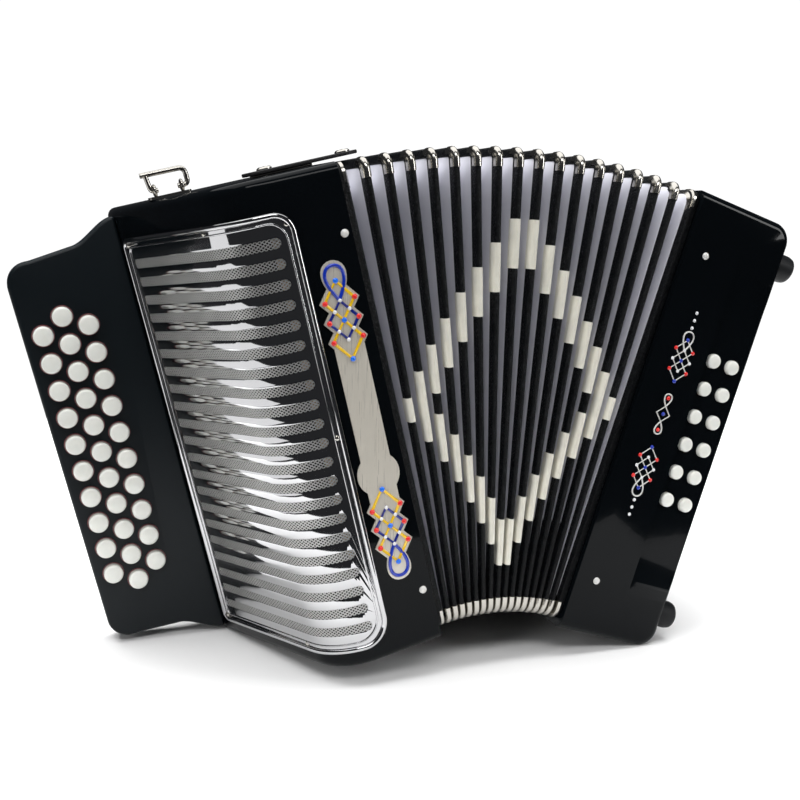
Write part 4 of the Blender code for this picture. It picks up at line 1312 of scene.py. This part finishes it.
def inlay(name, shape, finish, home, body):
    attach(placed(solid(name, shape), home, [finish], 50), body)


def stones(name, spots, y, radius, finish, home, body):
    places = [(Vector((w, y, u)), FRONTWARD, 1.0) for w, u in spots]
    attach(copies(name, lathe(dome(radius, radius * 0.7, 4), "u", (0, 0), 14), places, home, finish),
            body)


# %% [markdown]
# ## Layering the plate
# The plate is a stack of thin prisms. Those that overlap differ by a trace in height, so that no
# two faces lie in one plane. The enamel lines are half-sunk beads, and the stones sit where they
# cross and along the sides of the diamonds.

# %% Plate and its two knots
PLATE_FACE = -1.1
KNOTS = {"upper": Knot(-18.0, 201.0, 1, 9.7, 12.4, 22.0, 8.2),
         "lower": Knot(-18.6, 114.0, -1, 9.7, 12.6, 22.4, 8.2)}
layers = bmesh.new()
prism(box_points((-28.0, 104.0), (-8.2, 211.0)), "y", PLATE_FACE, -0.1, layers)
lathe([(14.2, PLATE_FACE + 0.03), (14.2, -0.1)], "y", (-18.3, 124.0), 40, layers)
for style in KNOTS.values():
    for step, outline in enumerate((*style.diamonds(3.3), style.loop(2.9))):
        prism(outline, "y", PLATE_FACE - 0.03 * (step + 1), -0.1, layers)
plate = solid("front_plate", layers)
placed(plate, TREBLE, [PLATE], 30)
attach(plate, "treble")

for name, style in KNOTS.items():
    lower, middle, upper = style.diamonds()
    inlay(name + "_yellow_lines", beads((lower, upper), 1.5, PLATE_FACE + 0.3), YELLOW, TREBLE, "treble")
    inlay(name + "_navy_lines", beads((middle,), 1.4, PLATE_FACE + 0.1), NAVY, TREBLE, "treble")
    inlay(name + "_blue_loop", beads((style.loop(),), 1.2, PLATE_FACE - 0.2), BLUE, TREBLE, "treble")
    top = PLATE_FACE - 1.0
    step = style.half_u
    stones(name + "_red_dots", style.sides((0, 1, 2)), top, 1.8, RED, TREBLE, "treble")
    stones(name + "_azure_stones", [style.at(0, 0), style.at(0, 2 * step), style.at(0, 4 * step)],
           top, 1.8, AZURE, TREBLE, "treble")
    crossings = [style.at(side * style.half_w / 2, step * up) for up in (1.5, 2.5) for side in (-1, 1)]
    stones(name + "_white_dots", crossings + [style.at(0, step), style.at(0, 3 * step)], top, 1.3,
           WHITE, TREBLE, "treble")

# %% [markdown]
# ## Stones on the bass front
# The same knot returns on the bass box, smaller, in silver wire with coloured stones. Between the
# two knots sits one diamond with a teardrop at each end.

# %% Bass ornaments
BASS_STEP, STONES_W = 7.5, 24.6
BASS_KNOTS = (Knot(STONES_W, 189.2, 1, 7.3, BASS_STEP, 13.6, 5.6),
              Knot(STONES_W, 140.5, -1, 7.3, BASS_STEP, 13.6, 5.6))
lines, red, blue, clear = [], [], [], []
for style in BASS_KNOTS:
    lines += [*style.diamonds(), style.loop()]
    red += style.sides((0, 2))
    clear += style.sides((1,)) + [style.at(0, BASS_STEP), style.at(0, 3 * BASS_STEP)]
    blue += [style.at(0, 0), style.at(0, 2 * BASS_STEP), style.at(0, 4 * BASS_STEP)]
    clear += [style.at(0, 4 * BASS_STEP + 9.0 + 5.4 * step) for step in range(3)]
SMALL = (STONES_W, 165.0)
lines += [diamond(SMALL, 5.6, 5.6), teardrop((STONES_W, 170.6), 9.0, 4.0, 1),
          teardrop((STONES_W, 159.4), 9.0, 4.0, -1)]
blue.append(SMALL)
red += [(STONES_W, 176.6), (STONES_W, 153.4)]
inlay("bass_silver_wire", beads(lines, 0.58, -0.1), SCREW_PEARL, BASS, "bass")
for label, finish, spots in (("red", RED, red), ("blue", BLUE, blue), ("clear", WHITE, clear)):
    stones(f"bass_{label}_stones", spots, -0.2, 1.25 if label == "clear" else 1.5, finish, BASS, "bass")

# %% [markdown]
# ## Hardware on top
# A wire bail for the shoulder strap stands in two eyes, and a short leather strap with two
# press studs keeps the bellows shut when it is buttoned across.

# %% Bail, eyes and bellows strap
BAIL = Vector(joints["strap_bail_swing"]["pos_m"])
bail_home = Matrix.Translation(BAIL) @ TREBLE.to_3x3().to_4x4()
AXLE_U = HEIGHT + GAP + 5.2
BAIL_Y, EYE_WS, EYE_RADIUS = 90.0, (-98.0, -80.0), 3.1


def rounded_path(points, radius, steps=6):
    """Replaces each inner corner of an open path by an arc-like curve."""
    path = [Vector(points[0])]
    for before, here, after in zip(points, points[1:], points[2:]):
        before, here, after = Vector(before), Vector(here), Vector(after)
        reach = min(radius, (before - here).length / 2, (after - here).length / 2)
        start = here + (before - here).normalized() * reach
        stop = here + (after - here).normalized() * reach
        for step in range(steps + 1):
            t = step / steps
            path.append(start.lerp(here, t).lerp(here.lerp(stop, t), t))
    return path + [Vector(points[-1])]


right_leg = [(-2.4, 0, 0), (4.6, 0, 0), (4.2, 0, 11), (-25, 0, 11)]
left_leg = [(-15.6, 0, 0), (-20.4, 0, 0), (-21.6, 0, 10)]
bail_shape = tube(rounded_path(right_leg, 4.2), 1.7, sides=14)
join_into(bail_shape, tube(rounded_path(left_leg, 3.0), 1.6, sides=14))
bail = placed(solid("wire_bail", bail_shape), bail_home, [NICKEL], 60)
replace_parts(bail, "strap_bail")
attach(bail, "strap_bail")

eyes = bmesh.new()
plate_low = HEIGHT + GAP
plate_front, plate_back = BAIL_Y - 6, BAIL_Y + 6
prism(filleted([(-103, plate_front, 3), (-75, plate_front, 3), (-75, plate_back, 3),
                (-103, plate_back, 3)]), "u", plate_low, plate_low + 1.5, eyes)
for w in EYE_WS:
    ring_path = [(w, BAIL_Y + EYE_RADIUS * math.cos(a), AXLE_U + EYE_RADIUS * math.sin(a))
                 for a in (2 * math.pi * k / 24 for k in range(24))]
    join_into(eyes, tube(ring_path, 1.15, closed=True, sides=10))
bracket = placed(solid("bail_eyes", eyes), TREBLE, [NICKEL], 40)
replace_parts(bracket, "strap_bail_bracket")
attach(bracket, "treble")

strap_outline = filleted([(-47, 40, 5), (29, 40, 8), (29, 60, 8), (-47, 60, 5)])
latch = bevelled(solid("latch_strap", prism(strap_outline, "u", HEIGHT + GAP + 1.3, HEIGHT + GAP + 3.7)),
                 0.7, 3)
placed(latch, TREBLE, [LEATHER])
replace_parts(latch, "bellows_strap")
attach(latch, "treble")
rail = bevelled(solid("latch_rail", prism(box_points((-42, 44), (-3, 56)), "u", HEIGHT + 0.1,
                                           HEIGHT + GAP + 1.3)), 0.3, 2)
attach(placed(rail, TREBLE, [NICKEL]), "treble")
stud = [(5.0, 0.0), (5.0, 0.8), (4.2, 1.6), (3.2, 1.9), (2.4, 1.4), (1.6, 1.9), (0, 2.1)]
studs = copies("latch_studs", lathe(stud, "u", (0, 0), 28),
               [(Vector((w, 50, HEIGHT + GAP + 3.6)), NO_TURN, 1.0) for w in (-33.0, 20.0)],
               TREBLE, NICKEL)
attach(studs, "treble")

# %% [markdown]
# ## The bass end
# The hand strap arches over the end of the box, the air button sits beside it, and rubber feet let
# the instrument stand on this end.

# %% Hand strap, air button and feet
STRAP_LOW, STRAP_HIGH, STRAP_Y, STRAP_RISE, STRAP_HALF = 52.0, 268.0, 95.0, 30.0, 21.0
STRAP_FOOT, STRAP_TOP = 26.0, 294.0
STITCHES, STITCH_LINE = 58, 17.5


def strap_curve(u):
    share = (u - STRAP_LOW) / (STRAP_HIGH - STRAP_LOW)
    if share <= 0 or share >= 1:
        return BASS_W + GAP
    return BASS_W + GAP + STRAP_RISE * math.sin(math.pi * share) ** 0.8


strap_shape = bmesh.new()
strap_levels = [STRAP_FOOT, 36.0, *(44.0 + 232.0 * k / 40 for k in range(41)), 284.0, STRAP_TOP]
strap_rows = []
for u in strap_levels:
    narrow = STRAP_HALF - 3.0 * max(0.0, 1 - min(u - STRAP_FOOT, STRAP_TOP - u) / 12.0) ** 2
    strap_rows.append([Vector((strap_curve(u) + 0.6 * (1 - (k / 4) ** 2), STRAP_Y + narrow * k / 4, u))
                       for k in range(-4, 5)])
swept(strap_rows, False, 0, strap_shape)
strap = solid("hand_strap", strap_shape, outward=False)
if sum(face.normal.x for face in strap.data.polygons) < 0:
    strap.data.flip_normals()
walled(strap, 2.8, 1.0)
bevelled(strap, 0.6, 2, 60)
placed(strap, BASS, [LEATHER], 40)
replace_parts(strap, "bass_strap")
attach(strap, "bass")

stitch = tube([(0, -1.4, 0), (0, -0.7, 0.32), (0, 0.7, 0.32), (0, 1.4, 0)], 0.32, sides=6)
stitch_spots = []
for side in (-1, 1):
    for k in range(STITCHES):
        u = 40.0 + 240.0 * k / (STITCHES - 1)
        slope = strap_curve(u + 0.5) - strap_curve(u - 0.5)
        along = Vector((slope, 0, 1)).normalized()
        out = Vector((along.z, 0, -along.x))
        turned = Matrix((Vector((0, 1, 0)), along, out)).transposed().to_euler()
        spot = Vector((strap_curve(u), STRAP_Y + side * STITCH_LINE, u)) + out * 3.2
        stitch_spots.append((spot, turned, 1.0))
stitches = copies("strap_stitches", stitch, stitch_spots, BASS, WHITE)
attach(stitches, "bass")
rivets = copies("strap_rivets", lathe(dome(3.4, 1.5), "u", (0, 0), 24),
                [(Vector((BASS_W + GAP + 3.3, STRAP_Y + y, u)), facing((1, 0, 0)), 1.0)
                 for u in (33.0, 287.0) for y in (-11, 11)], BASS, NICKEL)
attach(rivets, "bass")

air_profile = [(r, BASS_W + AIR_PROUD - h) for r, h in button_profile(AIR_BUTTON, 17.0)]
air = placed(solid("air_button_cap", lathe(air_profile, "w", AIR_PLACE, 36)), BASS, [PEARL], 50)
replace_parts(air, "air_button")
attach(air, "air_button")

FOOT_Y, LOW_FOOT, HIGH_FOOT = 14.0, 25.0, 293.0
foot_profile = [(10.0, 0.0), (10.0, 10.5), (9.4, 13.0), (7.8, 14.3), (3.4, 14.5), (2.8, 12.5), (0, 12.5)]


def rubber_foot(name, y, u):
    profile = [(r, BASS_W + GAP + h) for r, h in foot_profile]
    foot = placed(solid(name, lathe(profile, "w", (y, u), 32)), BASS, [RUBBER], 40)
    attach(foot, "bass")
    return foot


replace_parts(rubber_foot("foot_lower_front", FOOT_Y, LOW_FOOT), "bass_foot_lower")
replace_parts(rubber_foot("foot_upper_front", FOOT_Y, HIGH_FOOT), "bass_foot_upper")
rubber_foot("foot_lower_back", DEPTH - FOOT_Y, LOW_FOOT)
rubber_foot("foot_upper_back", DEPTH - FOOT_Y, HIGH_FOOT)

# %% [markdown]
# ## The reed blocks
# The two reed blocks keep the shape that they have in the frame. They are maple.

# %% Wood inside
for node in ("treble_reed_block", "bass_reed_block"):
    wood = frame["nodes"][node]
    if not wood.material_slots:
        wood.data.materials.append(MAPLE)
    for place in wood.material_slots:
        place.material = MAPLE
